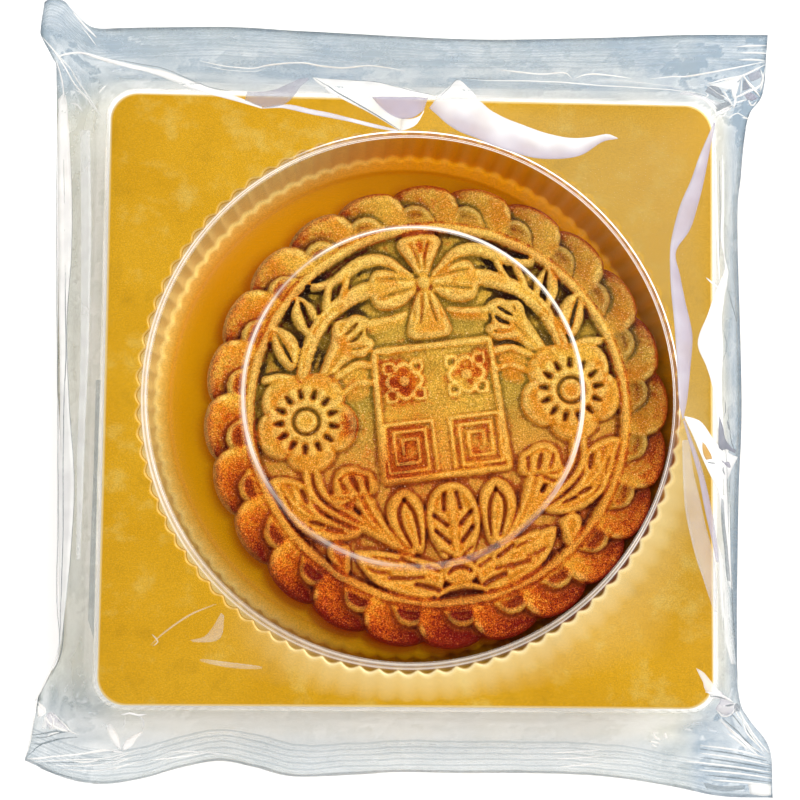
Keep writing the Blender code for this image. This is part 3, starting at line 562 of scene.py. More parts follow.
def press_upper_bud(top):
    """The bud with its notches, the swell below it, and the stems to the side flower."""
    top.form([(14.2, 24.7), (15.6, 26.2), (17.6, 26.9), (19.2, 26.6), (20.3, 26.1), (22.0, 26.0),
              (23.4, 25.2), (24.1, 23.6), (24.2, 21.9), (25.0, 19.9), (26.3, 17.5), (27.6, 14.8),
              (28.2, 12.8), (24.4, 12.5), (22.2, 14.3), (20.6, 15.3), (18.8, 15.8), (16.6, 16.0),
              (15.0, 17.0), (13.8, 18.8), (14.1, 20.2), (15.2, 21.2), (15.3, 22.8)], 2.3, 1.9)
    top.slot([(17.4, 24.5), (18.9, 23.3), (20.6, 22.0)], (0.8, 1.5, 0.7), 1.4)
    top.slot([(16.6, 22.2), (17.9, 21.0), (19.6, 20.1)], (0.9, 1.7, 0.7), 1.6)
    top.slot([(21.2, 24.8), (21.6, 22.8)], (1.1, 0.5), 0.7)
    top.slot([(15.8, 18.6), (17.6, 18.3), (19.8, 18.2)], (0.7, 1.2, 0.5), 0.7)
    top.slot([(19.6, 26.4), (19.9, 25.0)], 0.9, 0.6)
    top.slot([(20.8, 20.2), (23.0, 17.0), (25.4, 13.8)], (0.6, 1.6, 1.2), 0.45)
    top.form([(15.4, 15.2), (19.0, 15.5), (22.0, 14.4), (24.6, 12.4), (23.6, 7.5), (21.6, 4.8),
              (18.4, 5.2), (15.8, 7.6)], 0.9, 3.2)
    top.ridge([(15.6, 13.9), (18.5, 14.3), (21.2, 13.4), (24.2, 11.8)], (2.3, 2.5, 2.4, 2.0), 1.8)
    top.ridge([(15.6, 9.6), (18.5, 9.9), (21.0, 9.1), (23.4, 7.4)], (2.0, 2.3, 2.2, 1.8), 1.6)
    top.ridge([(34.8, 12.4), (38.2, 13.3), (41.4, 13.3)], (3.0, 2.7, 2.2), 1.9)


def press_side_flower(top):
    """A round flower: its brim swells out in five lobes by a sine, thirteen low beats and as
    many slots stand round its middle, which has a raised and a sunk ring."""
    dx, dy = top.u - FLOWER[0], top.v - FLOWER[1]
    far = np.hypot(dx, dy)
    here = np.flatnonzero(far < 14.0)
    far, turn = far[here], np.arctan2(dy[here], dx[here])
    lobe = np.abs(np.sin(FLOWER_LOBES / 2 * (turn - math.radians(17.0)))) ** 0.75
    brim = 10.4 + 2.5 * lobe
    rise = 2.4 * rounded((brim - far) / 3.0) * (far < brim)
    rise -= 0.35 * soft_step(far, 8.4, 5.6)
    beat = np.cos(FLOWER_BEATS * (turn - math.radians(2.0)))
    rise += 0.35 * soft_step(-beat, -0.1, 0.7) * soft_step(far, 9.6, 8.0) * soft_step(far, 4.2, 5.0)
    rise += 0.55 * rounded(1.0 - np.abs(far - 4.25) / 1.0)
    rise -= 1.3 * soft_step(1.0 - np.abs(far - 3.15) / 0.65, 0.0, 0.7)
    rise += 0.35 * rounded((2.9 - far) / 2.4)
    inside = far < brim
    top.raise_to(here[inside], rise[inside])
    for number in range(FLOWER_BEATS):
        way = math.radians(2.0) + number * 2 * math.pi / FLOWER_BEATS
        top.slot([polar(FLOWER, reach, way) for reach in (6.3, 7.7)], (2.0, 1.1), 1.7)


def press_lower_side(top):
    """Two arched stems, the bud with its notches, its ribbed stalk, the long veined leaf that
    follows the ring, and the small leaf at its foot."""
    top.ridge([(34.2, -9.6), (33.9, -14.4), (31.9, -18.3), (28.2, -21.5), (23.4, -24.5),
               (17.6, -28.3), (10.6, -32.8)], (2.2, 2.1, 2.0, 2.0, 2.0, 2.0, 1.6), 2.0)
    top.ridge([(31.8, -9.6), (31.2, -14.2), (29.2, -17.6), (25.8, -20.7), (21.2, -24.2),
               (16.2, -27.8)], (2.1, 2.0, 2.0, 2.0, 1.9, 1.4), 1.9)
    top.form([(17.3, -16.6), (17.4, -14.0), (18.4, -12.0), (20.2, -11.2), (21.6, -10.2),
              (23.6, -9.8), (25.6, -10.1), (27.2, -11.3), (28.0, -13.4), (28.4, -15.4),
              (28.9, -16.9), (28.4, -18.6), (26.9, -19.8), (25.2, -19.3), (23.2, -18.3),
              (21.0, -17.9), (19.0, -17.7)], 2.4, 1.6)
    top.slot([(19.7, -16.7), (19.9, -15.0), (20.1, -13.2)], (0.7, 1.6, 1.0), 1.4)
    top.slot([(22.1, -16.6), (22.7, -14.8), (23.4, -12.8)], (0.6, 1.8, 1.3), 1.6)
    top.slot([(25.0, -16.4), (25.9, -14.6), (26.4, -13.0)], (0.6, 1.5, 1.0), 1.1)
    top.slot([(19.4, -13.4), (21.8, -12.2), (24.4, -11.9), (26.6, -13.2)], 1.3, 0.5)
    top.slot([(24.6, -17.6), (26.6, -17.8), (27.4, -17.0)], (0.6, 1.1, 0.6), 0.7)
    top.form([(19.0, -17.8), (22.0, -17.6), (25.6, -19.8), (24.8, -22.6), (22.2, -25.6),
              (18.0, -29.4), (12.6, -33.6), (10.6, -33.4), (13.6, -29.4), (16.0, -25.2),
              (17.6, -21.4)], 1.6, 1.3)
    top.ridge([(20.4, -18.0), (18.7, -22.2), (16.6, -26.4), (13.4, -31.0)], (2.0, 1.8, 1.7, 1.4), 2.2)
    top.ridge([(22.6, -18.4), (20.8, -22.6), (18.2, -26.6), (14.8, -30.8)], (1.8, 1.7, 1.6, 1.3), 2.1)
    top.slot([(22.6, -21.6), (23.5, -20.4)], (1.6, 1.4), 2.2)
    top.form([(43.6, -11.5), (41.6, -10.5), (39.2, -10.8), (36.8, -11.6), (34.9, -12.9),
              (34.2, -15.2), (33.2, -18.0), (31.4, -20.6), (28.4, -23.0), (25.0, -24.7),
              (22.2, -25.9), (23.4, -27.3), (26.2, -28.0), (29.2, -28.0), (32.2, -27.3),
              (35.0, -25.9), (37.6, -23.9), (39.4, -21.4), (40.9, -18.0), (42.1, -15.0)],
             2.3, 1.5, 0.7, 1.0)
    top.ridge([(40.4, -13.0), (37.6, -18.0), (33.4, -21.6), (27.6, -24.9)], (1.6, 1.7, 1.6, 1.2), 2.1)
    top.ridge([(37.7, -12.6), (37.0, -17.8)], (1.5, 1.4), 2.2)
    top.slot([(35.8, -14.4), (35.3, -16.0), (34.8, -17.8)], (1.2, 1.9, 0.9), 1.9)
    top.slot([(34.6, -22.4), (33.0, -22.9), (31.4, -23.5)], (1.0, 1.8, 1.0), 1.4)
    top.slot([(30.6, -24.2), (27.2, -25.2)], (1.2, 0.9), 1.7)
    top.slot([(40.0, -15.6), (38.8, -19.2)], (0.9, 1.2), 0.7)
    top.slot([(37.0, -22.2), (34.4, -24.4)], (1.2, 0.9), 0.7)
    top.form([(25.8, -29.8), (27.2, -28.4), (29.4, -27.7), (31.0, -28.7), (31.4, -30.8),
              (30.4, -33.4), (28.6, -35.8), (27.0, -36.4), (26.2, -33.6)], 1.9, 1.3, 0.35)


def press_crown(top):
    """The wide leaf at the bottom, the pointed leaf on each side of the middle one, the middle
    leaf with its rib and veins, and the small form under it."""
    top.form([(24.8, -30.7), (21.5, -30.9), (17.0, -31.8), (12.0, -33.3), (7.6, -35.1),
              (4.2, -37.0), (3.6, -39.6), (5.0, -42.8), (8.0, -44.4), (11.8, -43.8), (15.4, -42.4),
              (18.6, -40.8), (21.2, -38.8), (23.2, -36.0), (24.5, -33.4)], 2.3, 1.4, 0.3)
    for path, width, depth in (
            ([(14.6, -34.3), (17.6, -33.2), (20.4, -32.4)], 1.2, 1.2),
            ([(9.8, -36.2), (11.8, -35.0), (13.8, -33.9)], 1.6, 1.8),
            ([(17.0, -37.0), (20.0, -36.3), (22.6, -35.1)], 1.3, 1.0),
            ([(9.0, -39.1), (13.0, -38.8), (17.2, -38.1)], 1.4, 1.4),
            ([(5.8, -42.5), (8.2, -41.4), (10.8, -40.5)], 2.0, 1.8),
            ([(5.0, -37.8), (7.6, -36.4)], 1.8, 1.5)):
        top.slot(path, width, depth)
    top.form([(11.6, -16.9), (14.0, -18.2), (15.7, -20.8), (16.0, -24.0), (15.1, -27.4),
              (13.2, -30.6), (10.6, -32.8), (8.4, -33.2), (7.5, -30.6), (6.8, -27.0),
              (6.6, -23.6), (7.3, -20.4), (9.2, -17.9)], 2.4, 1.5)
    top.slot([(8.7, -31.0), (8.8, -27.0), (9.5, -22.9), (11.3, -19.7)], (0.8, 1.5, 1.6, 1.2), 1.7)
    top.slot([(11.3, -19.7), (12.9, -22.4), (12.7, -26.0), (10.9, -31.2)], (1.2, 1.5, 1.5, 0.8), 1.7)
    top.form(both_sides([(0.8, -16.8), (2.8, -17.4), (4.9, -19.4), (6.3, -22.6), (6.8, -25.8),
                         (6.3, -29.2), (5.1, -32.2), (3.6, -34.8), (1.0, -35.6)]), 2.6, 1.5, 0.7)
    top.ridge([(0.0, -18.6), (0.0, -34.5)], 2.1, 2.5)
    top.slot([(0.0, -19.0), (0.0, -33.0)], 0.6, 0.35)
    for path, width, depth in (
            ([(1.5, -19.6), (1.8, -21.4), (2.0, -23.4)], 1.4, 1.5),
            ([(1.7, -27.2), (3.0, -25.9), (4.6, -24.4)], 1.5, 1.6),
            ([(1.6, -31.4), (3.0, -29.9), (4.6, -28.2)], 1.5, 1.7),
            ([(1.7, -34.8), (3.8, -33.2)], 1.6, 1.8)):
        top.slot(path, width, depth)
    top.form(both_sides([(0.8, -35.3), (2.6, -35.9), (4.2, -37.8), (4.2, -40.2), (2.4, -41.6),
                         (0.8, -41.8)]), 2.3, 1.2)
    top.slot([(0.0, -37.6), (1.4, -37.8), (2.8, -38.8)], (1.6, 1.5, 1.0), 1.6)
    top.ridge([(0.0, -42.0), (3.2, -42.6), (6.2, -44.0)], (1.8, 1.6, 1.2), 1.9)


def press_panel(top):
    """A square panel, wider at its foot, with rounded corners, a rolled edge and a sunk floor.
    In each half of it: a four-petalled blossom with open leaves between its petals, above, and
    a square fret, below."""
    u, v = top.u, top.v
    beside = PANEL_HALF + (PANEL_TOP - v) * PANEL_FLARE - u
    level = np.minimum(PANEL_TOP - v, v - PANEL_FOOT)
    short_u, short_v = (np.maximum(PANEL_CORNER - gap, 0.0) for gap in (beside, level))
    inset = np.where((short_u > 0) & (short_v > 0), PANEL_CORNER - np.hypot(short_u, short_v),
                     np.minimum(beside, level))
    here = inset > 0
    rise = 2.1 * rounded(inset / 1.1) - 1.15 * soft_step(inset, 1.1, 2.0)
    top.raise_to(here, rise[here])
    du, dv = u - BLOSSOM[0], v - BLOSSOM[1]
    far = np.hypot(du, dv)
    brim = 2.6 + 2.6 * np.abs(np.cos(2 * np.arctan2(dv, du))) ** 0.7
    rise = 2.1 * rounded((brim - far) / 1.2) - 0.7 * soft_step(brim - far, 0.9, 1.8)
    rise += 0.9 * rounded((1.5 - far) / 1.2)
    here = far < brim
    top.raise_to(here, rise[here])
    for way in np.radians((45, 135, 225, 315)):
        for lean in (-0.32, 0.32):
            top.ridge([polar(BLOSSOM, 3.4, way), polar(BLOSSOM, 5.0, way + lean),
                       polar(BLOSSOM, 6.6, way)], 0.9, 2.0)
    line = np.add(FRET_LINE, FRET)
    for ends in zip(line[:-1], line[1:]):
        top.ridge(ends, 1.05, 2.0)


def press_pattern(u, v, radius):
    """Height of the pattern over the field: a ground that dips beside the top flower, towards
    the bottom and at the ring, with each shape pressed on it in turn."""
    ground = 0.25 - 0.9 * soft_step(np.abs(u), 11.0, 20.0) * soft_step(v, 12.0, 22.0)
    ground = ground - 0.7 * soft_step(-v, 14.0, 24.0)
    ground = ground - 0.8 * soft_step(radius, 38.0, 44.0)
    top = Pressing(u, v, ground)
    for press in (press_upper_side, press_upper_bud, press_top_flower, press_lower_side,
                  press_crown, press_side_flower, press_panel):
        press(top)
    return top.height


# --- the cake --------------------------------------------------------------------------

CAKE_CELLS = 288
RING_HALF = 1.3
CAKE_LOW_SIDE = (290.0, 0.0, 0.7)       # the side nearest the well's wall, for facing()
# light round the rim by degrees, and across a petal by its share
RIM_LIGHT = ((0, 0.58), (45, 0.66), (90, 0.78), (135, 0.95), (170, 1.05), (300, 1.0), (345, 0.75))
PETAL_LIGHT = ((0.0, 0.7), (0.1, 0.85), (0.45, 1.0), (0.8, 1.16), (0.93, 1.16), (1.0, 0.8))
# the side below the outline, ring by ring: how far out, share of the outline's height
CAKE_SIDE = ((-0.05, 0.75), (-0.12, 0.58), (-0.2, 0.38), (-0.3, 0.2), (-0.55, 0.09),
             (-1.0, 0.03), (-1.8, 0.0))
LITTLE_PETAL = ((-0.30, 47.3), (-0.25, 49.6), (0.75, 51.3), (2.2, 52.1), (3.7, 52.2),
                (5.3, 51.8), (6.6, 50.9), (7.6, 49.5), (8.3, 47.3))
# (u, v, reach, amount): where the oven browned the pattern most
BROWN_PATCHES = ((-20.5, -0.5, 4.6, 1.2), (-11.5, -10.5, 6.5, 0.75), (-4.0, -14.5, 6.0, 0.4),
                 (-14.0, -17.0, 5.0, 0.45), (-22.0, -12.0, 5.0, 0.5), (-30.0, -20.0, 8.0, 0.4),
                 (-24.0, -25.0, 7.0, 0.45), (-30.0, -33.0, 6.0, 0.6), (-12.0, -32.0, 6.0, 0.35),
                 (-9.0, 8.0, 5.5, 0.45), (10.0, 11.0, 5.0, 0.4), (9.0, -9.0, 5.0, 0.45),
                 (-40.0, -8.0, 6.0, 0.3), (0.0, -43.0, 9.0, 0.45), (30.0, -31.0, 6.0, 0.4),
                 (26.0, -18.0, 6.0, 0.3), (-11.0, 23.0, 5.0, 0.4), (11.0, 22.5, 5.0, 0.3),
                 (-20.0, 8.5, 5.0, 0.35), (0.0, 41.0, 3.0, 0.35), (0.0, 32.5, 2.5, 0.35),
                 (20.0, -1.0, 4.0, 0.25), (-33.0, 12.0, 5.0, 0.25), (16.0, -38.0, 7.0, 0.3))


def petal_turns(angles):
    """How many petals each angle is round from the first one, clockwise."""
    return (PETAL_TURN - angles) * PETALS / (2 * math.pi)


def petal_share(x, y):
    """How far round each point is in its petal, 0 to 1 clockwise, and its radius."""
    return petal_turns(np.arctan2(y, x)) % 1.0, np.hypot(x, y)


def cake_outline(angles):
    """Radius of the scalloped outline: 24 arches, their notches 2 mm in."""
    arch = np.sin(math.pi * ((petal_turns(angles) + 0.05) % 1.0) ** 0.94)
    return 55.35 + 2.15 * np.maximum(arch, 0.0) ** 0.62


def petal_along(share, radius):
    """How far each point is from its petal's low end to its crest, along their slanted border."""
    border = np.interp(radius, (47.5, 50.0, 52.0, 54.0, 55.5, 57.5),
                       (0.12, 0.12, 0.10, 0.03, -0.05, -0.09))
    return (share - border) % 1.0


def rim_heights(x, y, outline):
    """The 24 lapped petals: each falls outwards, climbs clockwise to a round crest and drops
    over the next one. A smaller dished petal with a rolled rim lies on each one's start."""
    share, radius = petal_share(x, y)
    along = petal_along(share, radius)
    climb = (0.1 + 0.9 * (along / 0.9) ** 1.5) * rounded((1.0 - along) / 0.11, 2.0)
    steep = np.interp(radius, (47.0, 50.0, 54.0, 57.5), (2.0, 2.7, 2.7, 1.7))
    height = 2.0 - 0.16 * (radius - 47.5) - steep * (1.0 - climb)
    height -= 2.4 * (1.0 - rounded((outline - radius) / 2.6))
    little = Pressing(x, y, height)
    around = (share + 0.1) % 1.0 - 0.1
    little.u, little.v = around * 13.2, radius
    little.form(LITTLE_PETAL, 2.0, 1.3, 0.75, 1.8)
    return little.height


def disc_grid(cells):
    """Square grid laid on a disc: the square's rings become circles. Gives each point's
    share of the radius and its angle."""
    a, b = np.meshgrid(np.linspace(-1, 1, cells + 1), np.linspace(-1, 1, cells + 1))
    share = np.maximum(np.abs(a), np.abs(b))
    safe = np.where(share > 0, share, 1.0)
    flat = np.abs(a) >= np.abs(b)
    angle = np.where(flat, np.pi / 4 * b / safe * np.sign(a) + np.where(a < 0, np.pi, 0.0),
                     np.pi / 2 - np.pi / 4 * a / safe * np.sign(b)
                     + np.where(b < 0, np.pi, 0.0))
    return share, angle


def softened(grid, passes):
    """The grid averaged with its neighbours by weights 1, 2, 1 both ways, passes times."""
    for _ in range(passes):
        padded = np.pad(grid, 1, "edge")
        grid = (padded[:-2, 1:-1] + 2 * grid + padded[2:, 1:-1]) / 4
        padded = np.pad(grid, 1, "edge")
        grid = (padded[1:-1, :-2] + 2 * grid + padded[1:-1, 2:]) / 4
    return grid


def to_pattern(x, y):
    """Pack coordinates to the pressed pattern's own middle line."""
    dx, dy = x - PATTERN_CENTRE[0], y - PATTERN_CENTRE[1]
    cos, sin = math.cos(PATTERN_TURN), math.sin(PATTERN_TURN)
    return dx * cos + dy * sin, dy * cos - dx * sin


def oven_browning(x, y, angle, radius, height):
    """How browned each point is: most on the rim's lower left and outer ends, in patches on
    the pattern, least on the right. Each cause adds its own share by smooth steps."""
    u, v = to_pattern(x, y)
    rim = soft_step(radius, 45.0, 50.0)
    lower_left = 0.5 + 0.5 * np.cos(angle - math.radians(243.0))
    browned = 0.10 + rim * (0.04 + 0.52 * lower_left ** 1.5)
    low_side = facing(angle, *CAKE_LOW_SIDE)
    browned += (0.45 + 0.15 * low_side) * soft_step(radius - cake_outline(angle),
                                                   -3.6 - 3.0 * low_side, -0.8)
    browned += 0.4 * soft_step(1.9 - np.abs(radius - RING_RADIUS), 0.0, 0.8)
    # the little petals
    turn = (petal_turns(angle) + 0.1) % 1.0 - 0.1
    inside = soft_step(turn, 0.0, 0.12) * soft_step(0.58 - turn, 0.0, 0.12)
    inside *= soft_step(radius, 47.5, 48.6) * soft_step(-radius, -51.6, -50.2)
    browned += (0.15 + 0.5 * lower_left) * inside
    browned += 0.12 * soft_step(-u - v, -10.0, 50.0) * (1 - rim)
    for pu, pv, reach, amount in BROWN_PATCHES:
        browned += amount * np.exp(-((u - pu) ** 2 + (v - pv) ** 2) / reach ** 2)
    browned *= np.where(radius > 45.0, 1.0, 0.15 + 0.85 * soft_step(height, 0.4, 1.5))
    # the ornaments in the panel are browned down to their ground
    blotch = soft_step(lattice_noise(x, y, 2.2, 9), -0.7, 0.5)
    for pu, pv in (BLOSSOM, FRET):
        off = np.maximum(np.abs(np.abs(u) - pu), np.abs(v - pv))
        browned += 0.32 * soft_step(6.9 - off, 0.0, 2.6) * blotch
    return browned + (0.16 * lattice_noise(x, y, 6.5, 5) + 0.08 * lattice_noise(x, y, 2.6, 6))


def cake_height(rx, ry, x, y, outline):
    """Height over the field: the pressed pattern inside the plain ring, the petals outside it,
    the ring's rolled section over both, all softened once and left a little uneven."""
    radius = np.hypot(rx, ry)
    u, v = to_pattern(x, y)
    pattern = press_pattern(u.ravel(), v.ravel(), radius.ravel()).reshape(u.shape)
    rim = rim_heights(rx.ravel(), ry.ravel(), outline.ravel()).reshape(u.shape)
    height = np.where(radius > RING_RADIUS, rim, pattern)
    from_ring = np.abs(radius - RING_RADIUS)
    tube = 2.3 * rounded(1.0 - from_ring / RING_HALF)
    height = softened(np.where(from_ring < RING_HALF, np.maximum(height, tube), height), 1)
    return height + (0.06 * lattice_noise(x, y, 0.9, 3) + 0.05 * lattice_noise(x, y, 1.9, 13)
                     + 0.10 * lattice_noise(x, y, 7.0, 4))


def crest_mark(height, angle, radius, outline, on_rim):
    """How far each point stands above the average round it, close by and wider: above 0 on a
    crest and below 0 in a hollow, weaker at the rim's outer end, stronger in its hollows. The
    crust paints highlights where it is above 0 and shade where it is below 0."""
    edge = 0.75 * (height - softened(height, 9)) + (height - softened(height, 3))
    edge *= (1.0 - 0.1 * on_rim) * soft_step(outline - radius, 0.2, 2.6)
    # painted highlight: near the outline the rim's left is raised, the rest lowered a little
    left_side = soft_step(-np.cos(angle + 0.2), 0.2, 0.8)
    edge += (0.3 * left_side - 0.05) * on_rim * soft_step(radius - outline, -1.4, -0.5)
    # the painted highlight is faded inside 52.4 mm on the rim and on the low side's petal ends
    dark_end = facing(angle, *CAKE_LOW_SIDE) * soft_step(radius - outline, -4.0, -1.8)
    faded = np.maximum(0.4 * soft_step(52.4 - radius, 0.0, 0.5), 0.6 * dark_end)
    return np.where(edge > 0, 1.0 - on_rim * faded, 1.0 + 0.25 * on_rim) * edge


def cake_marks(x, y, rx, ry, angle, outline, height):
    """The numbers that the crust's colours follow, one grid for each of CAKE_ATTRIBUTES."""
    radius = np.hypot(rx, ry)
    u, v = to_pattern(x, y)
    on_rim = soft_step(radius, 47.0, 48.2)
    # painted shade: the rim stands in the well wall's shade on the right; painted light and
    # shade: each petal is palest towards its crest and darkest where it dips below the last one
    lit = np.interp(np.degrees(angle), *zip(*RIM_LIGHT), period=360)
    lit *= np.interp(petal_along(*petal_share(rx, ry)), *zip(*PETAL_LIGHT))
    # painted light: the tone is raised just inside the outline
    tone = 1.0 + (lit - 1.0) * on_rim + 0.3 * soft_step(radius - outline, -0.7, -0.1)
    shown = np.where(radius > 47.4, np.maximum(height, 1.3), height)
    panel = (np.abs(u) < 14.6) & (np.abs(v - 1.0) < 15.8)
    shown = np.where(panel, 1.3 * (height - 0.5), shown)
    # painted shade: the gaps between the upper stems, nearly black in patches
    beside = soft_step(np.abs(u), 13.0, 16.0) * soft_step(v, 12.0, 16.0)
    beside *= soft_step(39.0 - v, 0.0, 4.0)
    above = 0.6 * soft_step(v, 33.0, 36.0) * soft_step(np.abs(u), 1.0, 3.0)
    patchy = soft_step(lattice_noise(x, y, 5.0, 8), -0.35, 0.25)
    right = on_rim * soft_step(np.cos(angle + 0.4), 0.5, 0.9)
    return {"height": shown, "edge": crest_mark(height, angle, radius, outline, on_rim),
            "swell": height - softened(height, 60),
            "browned": oven_browning(x, y, angle, radius, height),
            "oven": (beside + above) * (patchy * (radius < 46.0)),
            "warm": soft_step(-v, -6.0, 14.0) * (1.0 - 0.6 * right),
            "tone": np.where(panel, tone + 0.08, tone)}


def make_cake(material):
    """The top is a height field on a disc grid; below its outline, rings go down the side,
    turn under at the foot and close at the middle of the base."""
    share, angle = disc_grid(CAKE_CELLS)
    outline = cake_outline(angle)
    rx, ry = share * outline * np.cos(angle), share * outline * np.sin(angle)
    x, y = rx + RING_CENTRE[0], ry + RING_CENTRE[1]
    height = cake_height(rx, ry, x, y, outline)
    marks = cake_marks(x, y, rx, ry, angle, outline, height)
    top = np.stack([x, y, CAKE_FIELD + height], axis=-1)
    loop = rim_loop(*angle.shape)
    ring, heading = top.reshape(-1, 3)[loop], angle.ravel()[loop]
    out = np.stack([np.cos(heading), np.sin(heading)], axis=-1)
    rings = [np.column_stack([ring[:, :2] + inset * out,
                              CAKE_BASE + level * (ring[:, 2] - CAKE_BASE)])
             for inset, level in CAKE_SIDE]
    rings.append(np.column_stack([(ring[:, :2] + RING_CENTRE) / 2,
                                  np.full(len(ring), CAKE_BASE)]))
    points, faces = closed_skin(top, loop, rings, (*RING_CENTRE, CAKE_BASE))
    # down the side, browning and tone go on from the outline, and the rest is plain
    below = {name: np.full(len(points) - angle.size, value) for name, value in
             (("height", 1.5), ("edge", 0.0), ("swell", 0.0), ("oven", 0.0), ("warm", 1.0))}
    for name, more, tip in (("browned", 0.1, 0.5), ("tone", 0.0, 1.0)):
        below[name] = np.append(np.tile(marks[name].ravel()[loop] + more, len(rings)), tip)
    values = {name: np.append(marks[name], below[name]) for name in CAKE_ATTRIBUTES}
    return add_piece("baked_cake", points, faces, material, "mooncake", values)


# --- tray and lid ----------------------------------------------------------------------

def rounded_square(angles, half, corner):
    """Distance from the middle to a square's edge with round corners, along each angle."""
    cos, sin = np.abs(np.cos(angles)), np.abs(np.sin(angles))
    big, small = np.maximum(cos, sin), np.minimum(cos, sin)
    straight = half / big
    inner = half - corner
    along = inner * (cos + sin)
    arc = along + np.sqrt(np.maximum(along ** 2 - 2 * inner ** 2 + corner ** 2, 0.0))
    return np.where(straight * small > inner, arc, straight)


def shell(name, rows, angles, material, node, values):
    """A closed skin from rows of (radius at each angle, height), laid one after another from
    the top middle outwards and back along the underside to the bottom middle."""
    rows = [(np.broadcast_to(radius, angles.shape), np.broadcast_to(height, angles.shape))
            for radius, height in rows]
    radii, heights = (np.stack([row[k] for row in rows]) for k in (0, 1))
    x = TRAY_CENTRE[0] + radii * np.cos(angles)
    y = TRAY_CENTRE[1] + radii * np.sin(angles)
    count, columns = radii.shape
    points = np.stack([x, y, heights], axis=-1).reshape(-1, 3)
    poles = [[*TRAY_CENTRE, heights[0, 0]], [*TRAY_CENTRE, heights[-1, 0]]]
    faces = grid_faces(count, columns, wrap=True)[:, ::-1].tolist()
    first = np.arange(columns)
    last = first + (count - 1) * columns
    top = np.full(columns, len(points))
    faces += np.stack([top, first, np.roll(first, -1)], axis=-1).tolist()
    faces += np.stack([top + 1, np.roll(last, -1), last], axis=-1).tolist()
    values = {key: np.concatenate([np.repeat(row_values, columns) if row_values.ndim == 1
                                   else row_values.ravel(), row_values.ravel()[[0, -1]]])
              for key, row_values in values.items()}
    return add_piece(name, np.concatenate([points, poles]), faces, material, node, values)


